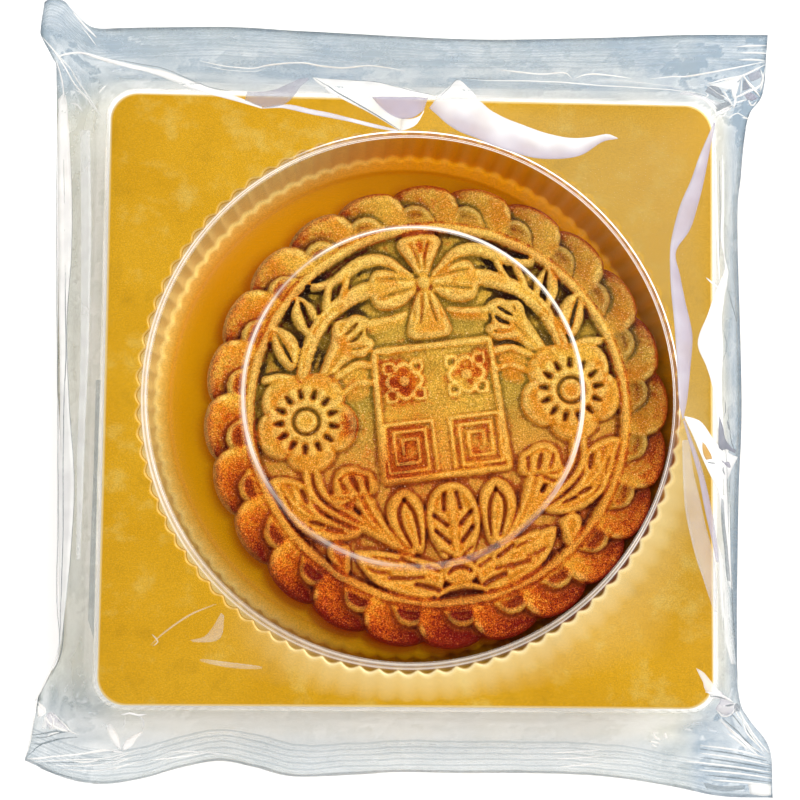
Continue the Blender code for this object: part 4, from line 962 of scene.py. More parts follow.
def make_tray(material):
    """Well floor with a low step, wall with 88 flutes rounded outwards and sharp inwards, a
    rolled brim, a square flange, and a plainer underside 0.6 mm below. Its marks carry the
    gold's painted light: how deep it is, its painted highlights, the painted light on its wall
    and its sheltered side, its painted shade on the right, and the painted reflection and
    shade of the browned cake."""
    angles = np.linspace(0.0, 2 * math.pi, FLUTES * FLUTE_POINTS, endpoint=False)
    lobe = np.sqrt(0.02 + 0.98 * np.cos(angles * FLUTES / 2) ** 2)
    mouth = FLUTE_VALLEY + (FLUTE_CREST - FLUTE_VALLEY) * lobe
    foot = FLOOR_VALLEY + (FLOOR_CREST - FLOOR_VALLEY) * lobe
    flange = rounded_square(angles, FLANGE_HALF, FLANGE_CORNER)
    rows = [(radius, TRAY_FLOOR + STEP_RISE) for radius in
            (2.0, 30.0, 44.0, 47.0, 49.5, 51.5, 53.5, 55.5, 57.5)]
    step_row = len(rows)
    rows += [(STEP_RADIUS + out, TRAY_FLOOR + share * STEP_RISE) for out, share in
             ((-0.9, 1.0), (-0.4, 0.9), (0.0, 0.5), (0.4, 0.1), (0.9, 0.0))]
    foot_row = len(rows)
    rows += [(foot - inset, TRAY_FLOOR + rise) for inset, rise in
             ((1.5, 0.0), (0.7, 0.15), (0.15, 0.7), (0.0, 1.5))]
    rows += [(foot + share * (mouth - foot),
              TRAY_FLOOR + 1.5 + share * (FLANGE_TOP - TRAY_FLOOR - 2.5))
             for share in np.linspace(0.12, 0.9, 8)]
    mouth_row = len(rows)
    rows += [(mouth + out, FLANGE_TOP - drop) for out, drop in
             ((0.0, 0.9), (0.12, 0.4), (0.4, 0.1), (0.9, 0.0))]
    flange_row = len(rows)
    rows += [(mouth + out, FLANGE_TOP) for out in (1.6, 4.0, 6.5)]
    rows.append((0.5 * (mouth + 6.5 + flange - 0.7), FLANGE_TOP))
    edge_row = len(rows)
    rows += [(flange - inset, FLANGE_TOP - drop) for inset, drop in
             ((0.7, 0.0), (0.25, 0.08), (0.05, 0.22), (0.0, 0.4), (0.1, TRAY_WALL))]
    rows += [(mouth + 1.2, FLANGE_TOP - TRAY_WALL), (mouth + 0.7, FLANGE_TOP - TRAY_WALL - 0.3),
             (foot + 0.6, TRAY_FLOOR + 1.2), (foot + 0.2, TRAY_FLOOR - 0.1)]
    rows += [(radius, TRAY_FOOT) for radius in (foot - 0.6, STEP_RADIUS, 30.0, 2.0)]
    # depth leads a brighter gold painted down in the well, against its shade
    depth = np.array([float(np.mean(height)) for _, height in rows])
    depth = np.clip((FLANGE_TOP - 0.3 - depth) / 8.0, 0.0, 1.0)
    # painted highlights and sheen: the brim and the flange beside it where they lean to the
    # light, the flange's own edge, the flange on the upper right, and the step in the floor on
    # the left
    lit = facing(angles, 298.0, 0.3, 0.85)
    left = facing(angles, 180.0, 0.1, 0.8)
    brim, wall, lee, dull = np.zeros((4, len(rows), len(angles)))
    brim[mouth_row + 1] = 0.5 * lit
    brim[mouth_row + 2] = 0.25 + 0.75 * lit
    brim[mouth_row + 3:edge_row - 1] = np.outer((0.7, 0.46, 0.34, 0.14), lit)
    brim[mouth_row + 3:edge_row] += 0.08 * facing(angles, 40.0, 0.2, 0.9)
    brim[edge_row + 1:edge_row + 4] = 0.7
    brim[step_row:foot_row] = np.outer((0.03, 0.08, 0.12, 0.08, 0.03), left)
    # painted light: the wall is pale on the left, and each flute a little at the top
    climb = soft_step(np.arange(foot_row - 1, mouth_row + 1), foot_row - 2.1, foot_row + 2.4)
    upper_left = facing(angles, 160.0, 0.3, 0.8)
    flute = facing(angles * FLUTES, 0.0, -0.3, 0.9) * facing(angles, 75.0, 0.1, 0.8)
    wall[foot_row - 1:mouth_row + 1] = np.outer(
        climb, np.maximum.reduce([0.95 * left, 0.95 * upper_left, 0.1 * flute]))
    # painted light: a brighter, warmer gold on the wall's sheltered upper right, against its shade
    lee[foot_row - 1:mouth_row + 2] = facing(angles, 40.0, 0.1, 0.7)
    # painted reflection and shade: near the cake the gold takes the colour of its browned side,
    # most where the gap is narrow
    radii = np.stack([np.broadcast_to(radius, angles.shape) for radius, _ in rows])
    gap_x = TRAY_CENTRE[0] - RING_CENTRE[0] + radii * np.cos(angles)
    gap_y = TRAY_CENTRE[1] - RING_CENTRE[1] + radii * np.sin(angles)
    heading = np.arctan2(gap_y, gap_x)
    gap = np.hypot(gap_x, gap_y) - cake_outline(heading)
    low_side = facing(heading, 290.0, 0.1, 0.75)
    shade = soft_step(gap, 4.5, 0.0) * (0.45 + 0.55 * low_side)
    # painted shade: the floor darker towards the top
    shade[:foot_row + 1] += 0.22 * facing(angles, 105.0, 0.2, 0.8)
    shade[mouth_row + 2:] = 0.0
    # painted shade: the flange is duller and darker on the right, where the film's slack facets
    # take its light
    dull[flange_row:edge_row + 1] = 0.3 * facing(angles, 18.0, 0.35, 0.85)
    return shell("gold_well_tray", rows, angles, material, "tray",
                 {"depth": depth, "brim": brim, "wall": np.clip(wall, 0.0, 1.0), "dull": dull,
                  "shade": np.clip(shade, 0.0, 1.0), "lee": lee})


# the lid's section from its middle outwards: (level, ((radius, height over it, bend), ...))
LID_SECTION = (
    (LID_TOP, ((8.0, 0, 0), (25.0, 0, 0), (39.0, 0, 0), (40.1, -0.03, 0), (40.4, -0.12, 0.1),
               (40.55, -0.35, 1), (40.7, -0.9, 1), (40.8, -1.3, 0.94), (41.1, -2.4, 0.9))),
    (LID_STEP_TOP, ((41.5, 1.4, 0.9), (41.75, 0.6, 0.9), (41.9, 0.25, 0.85), (42.05, 0.1, 0.3),
                    (42.2, 0.05, 0), (42.7, 0, 0), (50.0, 0, 0), (62.6, 0, 0), (63.8, -0.04, 0),
                    (64.1, -0.15, 0.15), (64.25, -0.4, 1), (64.4, -0.85, 1), (64.5, -1.2, 1),
                    (64.7, -2.0, 0.85))),
    (LID_FLANGE_TOP, ((65.2, 2.4, 0.2), (65.45, 1.4, 0.4), (65.75, 0.6, 0.9), (65.95, 0.2, 0.7),
                      (66.15, 0.06, 0.05), (66.5, 0.03, 0.02), (66.6, 0.02, 0.031),
                      (66.85, 0, 0.03), (66.95, 0, 0), (70.0, 0, 0))))
# and round its edge: (outwards from the edge, height over the flange, bend)
LID_EDGE = ((-2.4, 0, 0), (-1.1, 0, 0), (-0.5, -0.1, 0.2), (-0.15, -0.4, 0.4), (0, -0.9, 0.1),
            (0, -LID_LIP, 0.1), (-0.3, -LID_LIP - 0.12, 0.1), (-LID_WALL, -LID_LIP, 0.1),
            (-LID_WALL, -0.9, 0.05), (-0.75, -LID_WALL, 0.05), (-1.3, -LID_WALL, 0))
LID_COLUMNS, STEP_FOOT_BEND = 720, 0.03


def make_lid(material):
    """Raised disc, step and flange in one formed sheet, each bend rounded, with a lip turned
    down round the tray's edge; the underside follows 0.5 mm lower. bend, the share of painted
    highlight white, is high on the two steep bands and their shoulders, where the sheet is
    seen edge on."""
    angles = np.linspace(0.0, 2 * math.pi, LID_COLUMNS, endpoint=False)
    outer = rounded_square(angles, LID_HALF, LID_CORNER)
    upper = [(radius, level + rise, mark) for level, part in LID_SECTION
             for radius, rise, mark in part]
    rows = upper + [(outer + out, LID_FLANGE_TOP + rise, mark) for out, rise, mark in LID_EDGE]
    rows += [(radius - 0.45 * mark, height - LID_WALL * (1.0 - 0.5 * mark), 0.2 * mark)
             for radius, height, mark in upper[::-1]]
    reach, given = (np.array([float(np.mean(row[k])) for row in rows])[:, None] for k in (0, 2))
    turn = np.degrees(angles)
    disc, step = (np.interp(turn, *zip(*marks), period=360) for marks in (DISC_WHITE, STEP_WHITE))
    uneven = 0.88 + 0.12 * lattice_noise(60 * np.cos(angles), 60 * np.sin(angles), 4.0, 15)
    bend = np.clip(given * np.where(reach < 43.0, disc, step) * uneven, 0.0, 1.0)
    # towards the key light the sheet's steep bands show as thin lines only
    thin = (reach > 64.45) & (reach < 66.0) | (reach > 70.5)
    bend = np.where(thin, bend * (1.0 - 0.92 * facing(angles, 45.0, 0.2, 0.7)), bend)
    # painted reflection: the foot of the step doubles in the flange on the upper right
    foot = np.abs(given - STEP_FOOT_BEND) < 0.005
    bend = np.where(foot, 0.9 * facing(angles, 55.0, 0.4, 0.75), bend)
    # of the disc's wall's painted highlight, only the upper half shows on the left, where it
    # is seen flatter
    low = (reach > 41.4) & (reach < 42.1)
    bend = np.where(low, bend * (0.12 + 0.88 * facing(angles, 0.0, -0.2, 0.5)), bend)
    return shell("clear_lid_shell", [row[:2] for row in rows], angles, material, "clear_lid",
                 {"bend": bend})


# --- film bag --------------------------------------------------------------------------

# the bag's edges from above, in pack coordinates
TOP_EDGE = ((-92.9, 98.8), (-90.9, 100.1), (-87.8, 99.1), (-85.2, 96.3), (-80.5, 92.6),
            (-73.0, 92.8), (-65.6, 93.3), (-45.9, 94.0), (-26.4, 93.2), (-2.7, 92.2),
            (25.0, 92.6), (49.7, 93.2), (70.8, 94.5), (93.4, 95.4))
BOTTOM_EDGE = ((-93.0, -91.7), (-83.4, -95.8), (-74.0, -97.2), (-63.9, -95.7), (-55.1, -93.2),
               (-45.2, -91.5), (-36.3, -93.1), (-26.8, -95.3), (-10.9, -94.7), (-0.7, -94.0),
               (14.6, -94.1), (30.4, -94.1), (51.1, -95.0), (67.3, -97.1), (80.2, -99.5),
               (93.4, -99.9))
LEFT_EDGE = ((-93.0, -91.7), (-90.7, -81.2), (-89.7, -74.9), (-87.3, -70.5), (-84.9, -63.2),
             (-85.1, -34.4), (-86.9, -2.6), (-87.3, 1.6), (-88.0, 40.1), (-89.5, 79.4),
             (-89.9, 83.2), (-93.0, 89.1), (-93.7, 91.5), (-92.9, 98.8))
RIGHT_EDGE = ((93.4, -99.9), (92.7, -87.8), (87.7, -80.7), (85.2, -75.7), (84.5, -64.3),
              (85.1, -25.5), (86.0, -0.1), (85.1, 44.5), (86.0, 57.7), (87.0, 67.9),
              (88.4, 74.4), (91.8, 79.7), (93.1, 91.6), (93.4, 95.4))
SEAL_FOOT_TOP, SEAL_FOOT_BOTTOM = 83.6, -83.4
SEAL_DEPTH_TOP, SEAL_DEPTH_BOTTOM = 10.5, 11.5
SEAL_HEIGHT, SEAL_WAVE, SEAL_RIB_PITCH, SEAL_WIDTH = 9.6, 1.1, 1.55, 9.4
BAG_LENGTH, BAG_HALF_RIGHT, BAG_HALF_LEFT, FILM_BASE = 200.0, 85.6, 87.2, 0.06
FILM_COLUMNS, FILM_ROWS = 272, 300
# where the tight front film rests: radius and height on the lid's disc and on its step, and the
# height on its square edge
REST_DISC, REST_STEP, REST_EDGE = (43.0, 33.75), (65.5, 28.75), 22.0
BACK_RINGS = (0.985, 0.965, 0.94, 0.91, 0.885, 0.85, 0.8, 0.7, 0.5, 0.25)


def edge_curve(points, share, axis):
    """A bag edge at even shares of its length along x (axis 0) or y (axis 1)."""
    path = smooth_path(points, 8)
    order = np.argsort(path[:, axis])
    path = path[order]
    at = path[0, axis] + share * (path[-1, axis] - path[0, axis])
    other = np.interp(at, path[:, axis], path[:, 1 - axis])
    return np.column_stack([at, other] if axis == 0 else [other, at])


def seal_share(y):
    """0 inside the pillow, 1 at a seal's cut edge."""
    return np.clip(np.maximum((y - SEAL_FOOT_TOP) / SEAL_DEPTH_TOP,
                              (SEAL_FOOT_BOTTOM - y) / SEAL_DEPTH_BOTTOM), 0, 1)


def seal_height(x, y):
    """Middle height of the film's edge and of both seals, which wave along their length."""
    way = np.where(y > 0, 1.0, -1.0)
    wave = np.cos(2 * math.pi * 1.3 * x / 93.7 + way) + 0.35 * np.sin(x / 7.0 + 2 * way)
    return SEAL_HEIGHT + 0.8 * SEAL_WAVE * wave * np.clip(seal_share(y) * 2.0, 0.0, 1.0)


def bag_reach(angles):
    """Radius, from the tray's middle, at which the pillow ends: at the bag's sides, or where
    the two films meet at a seal's foot."""
    cos, sin = np.cos(angles), np.sin(angles)
    half_x = np.where(cos > 0, BAG_HALF_RIGHT, BAG_HALF_LEFT)
    half_y = np.where(sin > 0, SEAL_FOOT_TOP - TRAY_CENTRE[1], TRAY_CENTRE[1] - SEAL_FOOT_BOTTOM)
    return np.minimum(half_x / np.maximum(np.abs(cos), 1e-6),
                      half_y / np.maximum(np.abs(sin), 1e-6))


def round_tray(x, y):
    """Each point's distance from the tray's middle, and its direction from there."""
    dx, dy = x - TRAY_CENTRE[0], y - TRAY_CENTRE[1]
    return np.hypot(dx, dy), np.arctan2(dy, dx)


def drape(x, y):
    """Height of the front film. It is drawn tight over the lid's raised disc, its step and
    its square edge, a nearly straight cone between each, then falls to the bag's edge. Second,
    how far each point is on that last fall, 0 to 1."""
    radius, angle = round_tray(x, y)
    square = rounded_square(angle, LID_HALF + 1.2, LID_CORNER + 1.0)
    reach = np.maximum(bag_reach(angle), square + 3.0)
    edge = seal_height(x, y)
    (disc, high), (step, middle) = REST_DISC, REST_STEP
    level = np.interp(radius, (0.0, 41.0, disc), (34.05, 34.0, high))
    cone = high + (middle - high) * np.clip((radius - disc) / (step - disc), 0, 1) ** 1.12
    level = np.where(radius > disc, cone, level)
    skirt = np.clip((radius - step) / np.maximum(square - step, 1.0), 0, 1)
    level = np.where(radius > step, middle + (REST_EDGE - middle) * skirt ** 0.95, level)
    fall = np.clip((radius - square) / (reach - square), 0, 1)
    drop = 1.0 - (1.0 - fall) ** 1.35
    level = np.where(radius > square, REST_EDGE + (edge + 0.35 - REST_EDGE) * drop, level)
    return level, fall


def lid_clearance(x, y):
    """The lowest the front film may lie: just above the lid's own surface."""
    radius, angle = round_tray(x, y)
    square = rounded_square(angle, LID_HALF, LID_CORNER)
    level = np.interp(radius, (40.4, 42.6, 64.3, 66.6), (33.8, 28.5, 28.5, 21.65))
    return np.where(radius > square + 0.4, 0.0, level)


def front_film(x, y):
    """Height of the front film with its crumples, how slack and grey it is, with painted shading
    across its facets, and how whitely creased, as painted highlights, both 0 to 1."""
    level, fall = drape(x, y)
    seal = seal_share(y)
    slack = soft_step(fall, 0.0, 0.12)
    radius, angle = round_tray(x, y)
    beyond = radius - rounded_square(angle, FLANGE_HALF + 0.4, FLANGE_CORNER)
    pillow = slack * (1.0 - soft_step(seal, 0.0, 0.1))
    long_way = np.abs(y - TRAY_CENTRE[1]) > np.abs(x - TRAY_CENTRE[0])
    along, across = np.where(long_way, x, y), np.where(long_way, y, x)
    big = crumple(along * 0.45, across * 1.2, 13.0, 21)
    small = crumple(along, across * 1.3, 6.0, 31, 2)
    near_corner = soft_step(np.minimum(np.abs(x), np.abs(y)), 60.0, 76.0)
    creased = pillow * (1.4 * (big - 0.7) + (0.4 + 1.3 * near_corner) * (small - 0.72))
    tight = 0.25 * (1.0 - slack) * soft_step(crumple(x, y, 38.0, 41, 2), 0.7, 1.0)
    height = np.maximum(level + creased + tight, lid_clearance(x, y))
    # long faint streaks, along the margin they lie in
    streak = lattice_noise(along * 0.12, across, 2.6, 51)
    streak = streak + 0.6 * lattice_noise(along * 0.2, across, 1.3, 52)
    # painted shading: each crumpled facet graded from light to dark, up to a sharp step
    facet = (2.4 * (big + 0.4 * small)) % 1.0 - 0.5
    grey = np.maximum(slack, 0.8 * soft_step(beyond, -0.3, 0.3))
    grey *= 1.0 - soft_step(-y, 76.0, 82.0) * (0.22 + 0.26 * soft_step(-x, -70.0, -58.0))
    grey *= np.clip(0.8 + 0.16 * streak + (0.18 + 0.3 * near_corner) * facet, 0.2, 1.1)
    # painted highlights on the sharpest crumples near the corners
    white = pillow * near_corner * 0.45 * soft_step(small, 0.86, 0.99)
    return height, grey, white


def film_cast(x, y):
    """How cold the film's grey is: most at the top, the seals and the right-hand corners."""
    top = soft_step(y, 66.0, 80.0)
    seal = soft_step(np.abs(y), 82.0, 88.0)
    right = soft_step(x, 76.0, 84.0)
    corner = soft_step(np.minimum(np.abs(x) - 62.0, np.abs(y) - 64.0), 2.0, 16.0)
    corner = corner * np.where(x > 0, 1.6, 1.0)
    return np.clip(np.maximum.reduce([0.9 * top, 0.6 * seal, right, 0.7 * corner])
                   + 0.15 * lattice_noise(x, y, 9.0, 61), 0.0, 1.0)


def back_film(x, y):
    """Height of the back film: flat under the well, up to the tray's edge and the bag's."""
    radius, angle = round_tray(x, y)
    square = rounded_square(angle, LID_HALF + 2.0, LID_CORNER + 1.0)
    reach = np.maximum(bag_reach(angle), square + 2.0)
    well = FLUTE_CREST + 0.3
    skirt = np.clip((radius - well) / (square - well), 0, 1)
    fall = np.clip((radius - square) / (reach - square), 0, 1)
    level = FILM_BASE + 5.2 * skirt ** 1.2
    return level + fall * (seal_height(x, y) - 0.35 - level)


def make_film(material):
    """The front film is a grid stretched between the bag's four edges, by a Coons patch; the
    back film is rings from the same edges to its middle."""
    across = np.linspace(0.0, 1.0, FILM_COLUMNS + 1)
    upward = np.linspace(0.0, 1.0, FILM_ROWS + 1)
    top, bottom = (edge_curve(e, across, 0) for e in (TOP_EDGE, BOTTOM_EDGE))
    left, right = (edge_curve(e, upward, 1) for e in (LEFT_EDGE, RIGHT_EDGE))
    s, t = across[None, :, None], upward[:, None, None]
    plan = ((1 - t) * bottom[None] + t * top[None] + (1 - s) * left[:, None]
            + s * right[:, None]
            - (1 - s) * (1 - t) * bottom[0] - s * (1 - t) * bottom[-1]
            - (1 - s) * t * top[0] - s * t * top[-1])
    x, y = plan[..., 0], plan[..., 1]
    height, slack, white = front_film(x, y)
    from_cut = np.broadcast_to(BAG_LENGTH * np.minimum(t, 1.0 - t)[..., 0], x.shape)
    seal = soft_step(from_cut, SEAL_WIDTH, SEAL_WIDTH - 0.8)
    rim = np.zeros(x.shape, bool)
    rim[[0, -1]] = rim[:, [0, -1]] = True
    height = np.where(rim, seal_height(x, y), height)
    front = np.stack([x, y, height], axis=-1)
    loop = rim_loop(*x.shape)
    edge = front.reshape(-1, 3)[loop, :2]
    rings = []
    for share in BACK_RINGS:
        flat = TRAY_CENTRE + share * (edge - TRAY_CENTRE)
        rings.append(np.column_stack([flat, back_film(*flat.T)]))
    points, faces = closed_skin(front, loop, rings, (*TRAY_CENTRE, FILM_BASE))
    values = {"slack": slack, "crease": white, "cool": film_cast(x, y), "rib": from_cut,
              "seal": seal}
    values = {name: np.append(numbers.ravel(), np.zeros(len(points) - x.size))
              for name, numbers in values.items()}
    return add_piece("film_bag_skin", points, faces, material, "film_bag", values)


# --- folds in the film -----------------------------------------------------------------

# The routes are points picked on the photograph, in its pixels; on_film() lays them on
# the film. Sharp folds: route, width in mm, whiteness, tone (-0.5 gold seen through, 0 shadow
# grey, 0.5 lilac, 1 white)
# whiteness is a painted highlight; tone 0 a painted shadow, 0.5 a painted reflection
FOLD_LINES = (
    (((73, 12), (84, 25), (97, 38)), 0.5, 0.9, 1),
    (((80, 25), (88, 35), (97, 47)), 0.25, 0.7, 1),
    (((42, 37), (57, 55), (66, 69), (75, 85), (86, 97), (97, 112)), 0.35, 0.85, 1),
    (((48, 42), (60, 57), (70, 68), (78, 82), (88, 96), (101, 117)), 0.3, 0.6, 1),
    (((56, 60), (60, 72), (63, 88), (65, 104)), 0.35, 0.75, 1),
    (((71, 103), (77, 105), (83, 112)), 0.35, 0.85, 1),
    (((75, 90), (82, 94), (90, 102)), 0.3, 0.7, 1),
    (((98, 94), (107, 85)), 0.45, 0.95, 1),
    (((112, 59), (140, 64), (165, 69), (185, 77), (205, 86), (235, 92)), 0.25, 0.5, 0),
    (((200, 61), (225, 66), (250, 68), (270, 65), (300, 63), (322, 66), (345, 68), (368, 66),
      (388, 68), (405, 71)), 0.35, 0.85, 1),
    (((205, 65), (228, 70), (255, 71), (268, 67)), 0.2, 0.6, 1),
    (((64, 160), (65, 250), (66, 350), (64, 400), (63, 480), (63, 540), (61, 600), (59, 645),
      (50, 672)), 0.3, 0.55, 0),
    (((71, 150), (72, 240), (67, 330), (69, 400), (74, 480), (71, 550), (66, 600), (61, 650)),
      0.25, 0.35, 0),
    (((57, 120), (57, 250), (58, 400), (58, 520), (57, 600), (60, 645), (52, 670), (42, 690),
      (36, 702)), 0.3, 0.4, 0),
    (((315, 78), (332, 89), (352, 101), (376, 115), (399, 130)), 0.35, 0.75, 0),
    (((318, 78), (348, 80), (378, 82), (405, 89), (433, 95)), 0.25, 0.5, 0),
    (((440, 97), (448, 89), (458, 79), (478, 79), (505, 79)), 0.25, 0.5, 0),
    (((500, 70), (520, 72), (542, 74), (565, 73), (572, 78)), 0.4, 0.9, 1),
    (((575, 78), (584, 75), (596, 74), (614, 76), (633, 79)), 0.4, 0.9, 1),
    (((650, 79), (668, 77), (690, 76), (720, 71), (745, 66), (765, 62)), 0.4, 0.9, 1),
    (((478, 80), (530, 80.5), (562, 82), (600, 85.5), (640, 88), (680, 91), (706, 95)),
      0.5, 0.95, 1),
    (((600, 79), (640, 83), (682, 88)), 0.25, 0.55, 1),
    (((690, 95), (702, 99), (711, 104), (717, 110)), 0.7, 0.9, 1),
    (((706, 84), (725, 79), (742, 76), (765, 65)), 0.5, 0.95, 1),
    (((742, 76), (750, 84), (759, 92)), 0.35, 0.85, 1),
    (((742, 76), (741, 88), (740, 97)), 0.3, 0.7, 1),
    (((706, 85), (718, 93), (733, 106)), 0.4, 0.9, 1),
    (((731, 78), (735, 90), (734, 98)), 0.45, 0.9, 1),
    (((735, 97), (748, 92), (760, 86), (765, 67)), 0.3, 0.8, 1),
    (((715, 116), (722, 110), (733, 105)), 0.5, 0.95, 1),
    (((700, 98), (708, 104), (715, 112), (716, 118)), 0.6, 0.9, 1),
    (((728, 118), (738, 113), (748, 118)), 0.3, 0.6, 1),
    (((736, 47), (752, 46), (767, 46)), 0.5, 0.75, 1),
    (((740, 53), (755, 53), (769, 54)), 0.5, 0.75, 1),
    (((738, 60), (752, 60), (765, 61)), 0.5, 0.75, 1),
    (((715, 148), (716, 200), (717, 240), (719, 282)), 0.7, 0.95, 1),
    (((722, 155), (723, 200), (722, 240), (726, 268), (727, 288)), 0.9, 0.95, 1),
    (((719, 160), (720, 215), (719, 262)), 0.25, 0.45, 0),
    (((706, 278), (712, 283), (719, 289)), 0.5, 0.95, 1),
    (((727, 285), (731, 300), (737, 322)), 0.3, 0.5, 0),
    (((723, 330), (727, 345), (722, 362)), 0.3, 0.5, 0),
    (((725, 440), (727, 470), (728, 500), (729, 540)), 0.3, 0.5, 0),
    (((731, 500), (731, 560), (733, 610), (735, 640), (737, 670), (739, 696)), 0.35, 0.45, 0),
    (((728, 410), (731, 440), (737, 455)), 0.3, 0.5, 0),
    (((729, 500), (730, 545), (731, 590)), 0.5, 0.95, 1),
    (((705, 692), (720, 695), (733, 702)), 0.6, 0.95, 1),
    (((716, 710), (726, 717), (737, 706)), 0.45, 0.85, 1),
    (((720, 718), (735, 733), (749, 745), (763, 754)), 0.4, 0.85, 1),
    (((728, 729), (742, 741), (756, 750)), 0.35, 0.7, 1),
    (((738, 708), (746, 723), (756, 738), (769, 753)), 0.4, 0.9, 1),
    (((741, 716), (752, 736), (766, 756)), 0.3, 0.7, 1),
    (((652, 732), (656, 738), (661, 740)), 0.6, 0.95, 1),
    (((664, 732), (667, 739)), 0.7, 0.95, 1),
    (((649, 741), (660, 743)), 0.4, 0.9, 1),
    (((651, 744), (657, 747)), 0.4, 0.9, 1),
    (((700, 745), (735, 750), (767, 758)), 0.45, 0.85, 1),
    (((700, 753), (735, 758), (769, 765)), 0.45, 0.8, 1),
    (((686, 761), (730, 766), (771, 772)), 0.45, 0.8, 1),
    (((700, 770), (735, 773), (772, 778)), 0.45, 0.8, 1),
    (((712, 780), (740, 782), (771, 785)), 0.45, 0.8, 1),
    (((700, 749), (735, 754), (768, 761)), 0.4, 0.5, 0),
    (((700, 757), (735, 762), (770, 768)), 0.4, 0.5, 0),
    (((700, 765), (735, 769), (771, 775)), 0.4, 0.5, 0),
    (((705, 775), (735, 778), (771, 782)), 0.4, 0.5, 0),
    (((552, 753), (575, 752), (600, 750)), 0.3, 0.85, 1),
    (((555, 759), (578, 758), (602, 756)), 0.3, 0.85, 1),
    (((558, 767), (580, 765), (602, 763)), 0.3, 0.8, 1),
    (((38, 703), (46, 711), (38, 717)), 0.6, 0.95, 1),
    (((46, 715), (50, 723), (60, 729), (70, 732)), 0.5, 0.8, 1),
    (((50, 712), (60, 720), (70, 731), (79, 735)), 0.4, 0.8, 1),
    (((54, 716), (53, 728)), 0.5, 0.7, 1),
    (((32, 738), (45, 737), (58, 733), (71, 731)), 0.35, 0.5, 0),
    (((28, 756), (42, 744), (60, 739), (78, 737)), 0.35, 0.45, 0),
    (((27, 759), (60, 756), (78, 754), (118, 749)), 0.4, 0.95, 1),
    (((30, 762), (62, 760), (105, 758), (140, 749)), 0.3, 0.7, 1),
    (((50, 765), (95, 765), (142, 755)), 0.3, 0.6, 1),
    (((60, 769), (100, 770), (145, 760)), 0.3, 0.6, 1),
    (((40, 763), (80, 762), (120, 760)), 0.25, 0.4, 0),
    (((121, 715), (130, 713), (138, 715), (147, 714)), 0.5, 0.9, 1),
    (((125, 717), (122, 731)), 0.35, 0.7, 1),
    (((137, 716), (143, 719), (142, 730)), 0.5, 0.7, 1),
    (((112, 751), (123, 752)), 0.5, 0.8, 1),
    (((60, 646), (54, 664), (44, 684), (35, 701)), 0.45, 0.9, 1),
    (((36, 703), (33, 722), (30, 742), (25, 759)), 0.35, 0.7, 1),
    (((64, 620), (62, 650), (52, 675)), 0.3, 0.45, 0),
    (((151, 645), (165, 632), (190, 615), (216, 604)), 0.45, 0.16, 1),
    (((152, 634), (158, 641), (153, 646)), 0.4, 0.25, 1),
    (((200, 660), (230, 665), (262, 668)), 1.3, 0.13, 1),
    (((150, 760), (180, 757), (205, 753)), 0.35, 0.85, 1),
    (((160, 752), (200, 752), (240, 756)), 0.25, 0.5, 1),
    (((707, 462), (711, 463), (716, 463)), 0.3, 0.6, 0),
    (((725, 400), (725.5, 410), (724, 418)), 0.35, 0.55, 0),
    (((727.5, 420), (728.5, 427), (730, 431)), 0.6, 0.6, 0.1),
    (((723, 467), (723, 471), (725, 475)), 0.4, 0.6, 0),
    (((731, 475), (730, 484), (729, 496)), 0.35, 0.5, 0.1),
    (((728, 478), (727, 487)), 0.3, 0.5, 0),
    (((714, 116), (722, 113), (731, 108)), 0.5, 0.95, 1),
    (((717, 117), (723, 116), (727, 112)), 0.3, 0.8, 1),
    (((723, 91), (728, 99), (733, 106)), 0.55, 0.9, 1),
    (((734, 91), (735.5, 100), (733.5, 108)), 0.7, 0.75, 1),
    (((743, 75), (749, 85), (756, 92), (760, 97)), 0.45, 0.95, 1),
    (((744, 78), (751, 88), (758, 96)), 0.3, 0.5, 0),
    (((735, 98), (747, 92), (756, 88), (761, 84)), 0.5, 0.9, 1),
    (((760, 69), (763, 79), (760, 92)), 0.35, 0.8, 1),
    (((748, 100), (752, 106), (757, 101)), 0.4, 0.75, 1),
    (((735, 103), (742, 101), (747, 100)), 0.35, 0.7, 1),
    (((742, 117), (746, 118), (750, 119)), 0.4, 0.6, 1),
    (((694, 93), (702, 95), (708, 97)), 0.3, 0.5, 0),
    (((706, 92), (708, 95), (705, 97)), 0.35, 0.8, 1),
    (((710, 86), (716, 90), (721, 97), (730, 106)), 0.3, 0.45, 0),
    (((710, 696), (718, 697), (726, 699)), 0.35, 0.55, 0),
    (((725, 706), (730, 705), (734, 704)), 0.6, 0.55, 0.1),
    (((735, 710), (738, 716), (742, 720)), 0.35, 0.85, 1),
    (((731, 713), (737, 720), (742, 727)), 0.35, 0.5, 0),
    (((720, 720), (733, 732), (746, 745), (760, 757)), 0.5, 0.9, 1),
    (((727, 733), (737, 740), (748, 750)), 0.55, 0.85, 1),
    (((742, 720), (747, 733), (756, 743), (765, 752)), 0.4, 0.8, 1),
    (((722, 718), (736, 730), (747, 742), (760, 754)), 0.35, 0.5, 0),
    (((745, 727), (752, 738), (762, 750)), 0.3, 0.45, 0),
    (((38, 703), (41, 707), (45, 711)), 0.5, 0.9, 1),
    (((50, 713), (53, 720), (54, 728)), 0.35, 0.7, 1),
    (((58, 716), (64, 723), (70, 730)), 0.3, 0.4, 0),
    (((32, 735), (45, 733), (55, 731), (65, 732)), 0.4, 0.45, 0),
    (((46, 737), (52, 734), (60, 732)), 0.4, 0.85, 1),
    (((31, 743), (40, 744), (52, 741), (60, 739)), 0.4, 0.45, 0),
    (((30, 759), (42, 758), (55, 756)), 0.45, 0.9, 1),
    (((66, 756), (80, 754), (100, 750), (112, 749)), 0.35, 0.9, 1),
    (((72, 761), (86, 762), (100, 760)), 0.45, 0.85, 1),
    (((40, 768), (55, 773), (72, 777)), 0.3, 0.45, 0),
    (((110, 760), (120, 757), (130, 753)), 0.3, 0.7, 1),
    (((110, 765), (120, 762), (130, 758)), 0.3, 0.7, 1),
    (((112, 770), (121, 767), (130, 763)), 0.3, 0.65, 1),
)
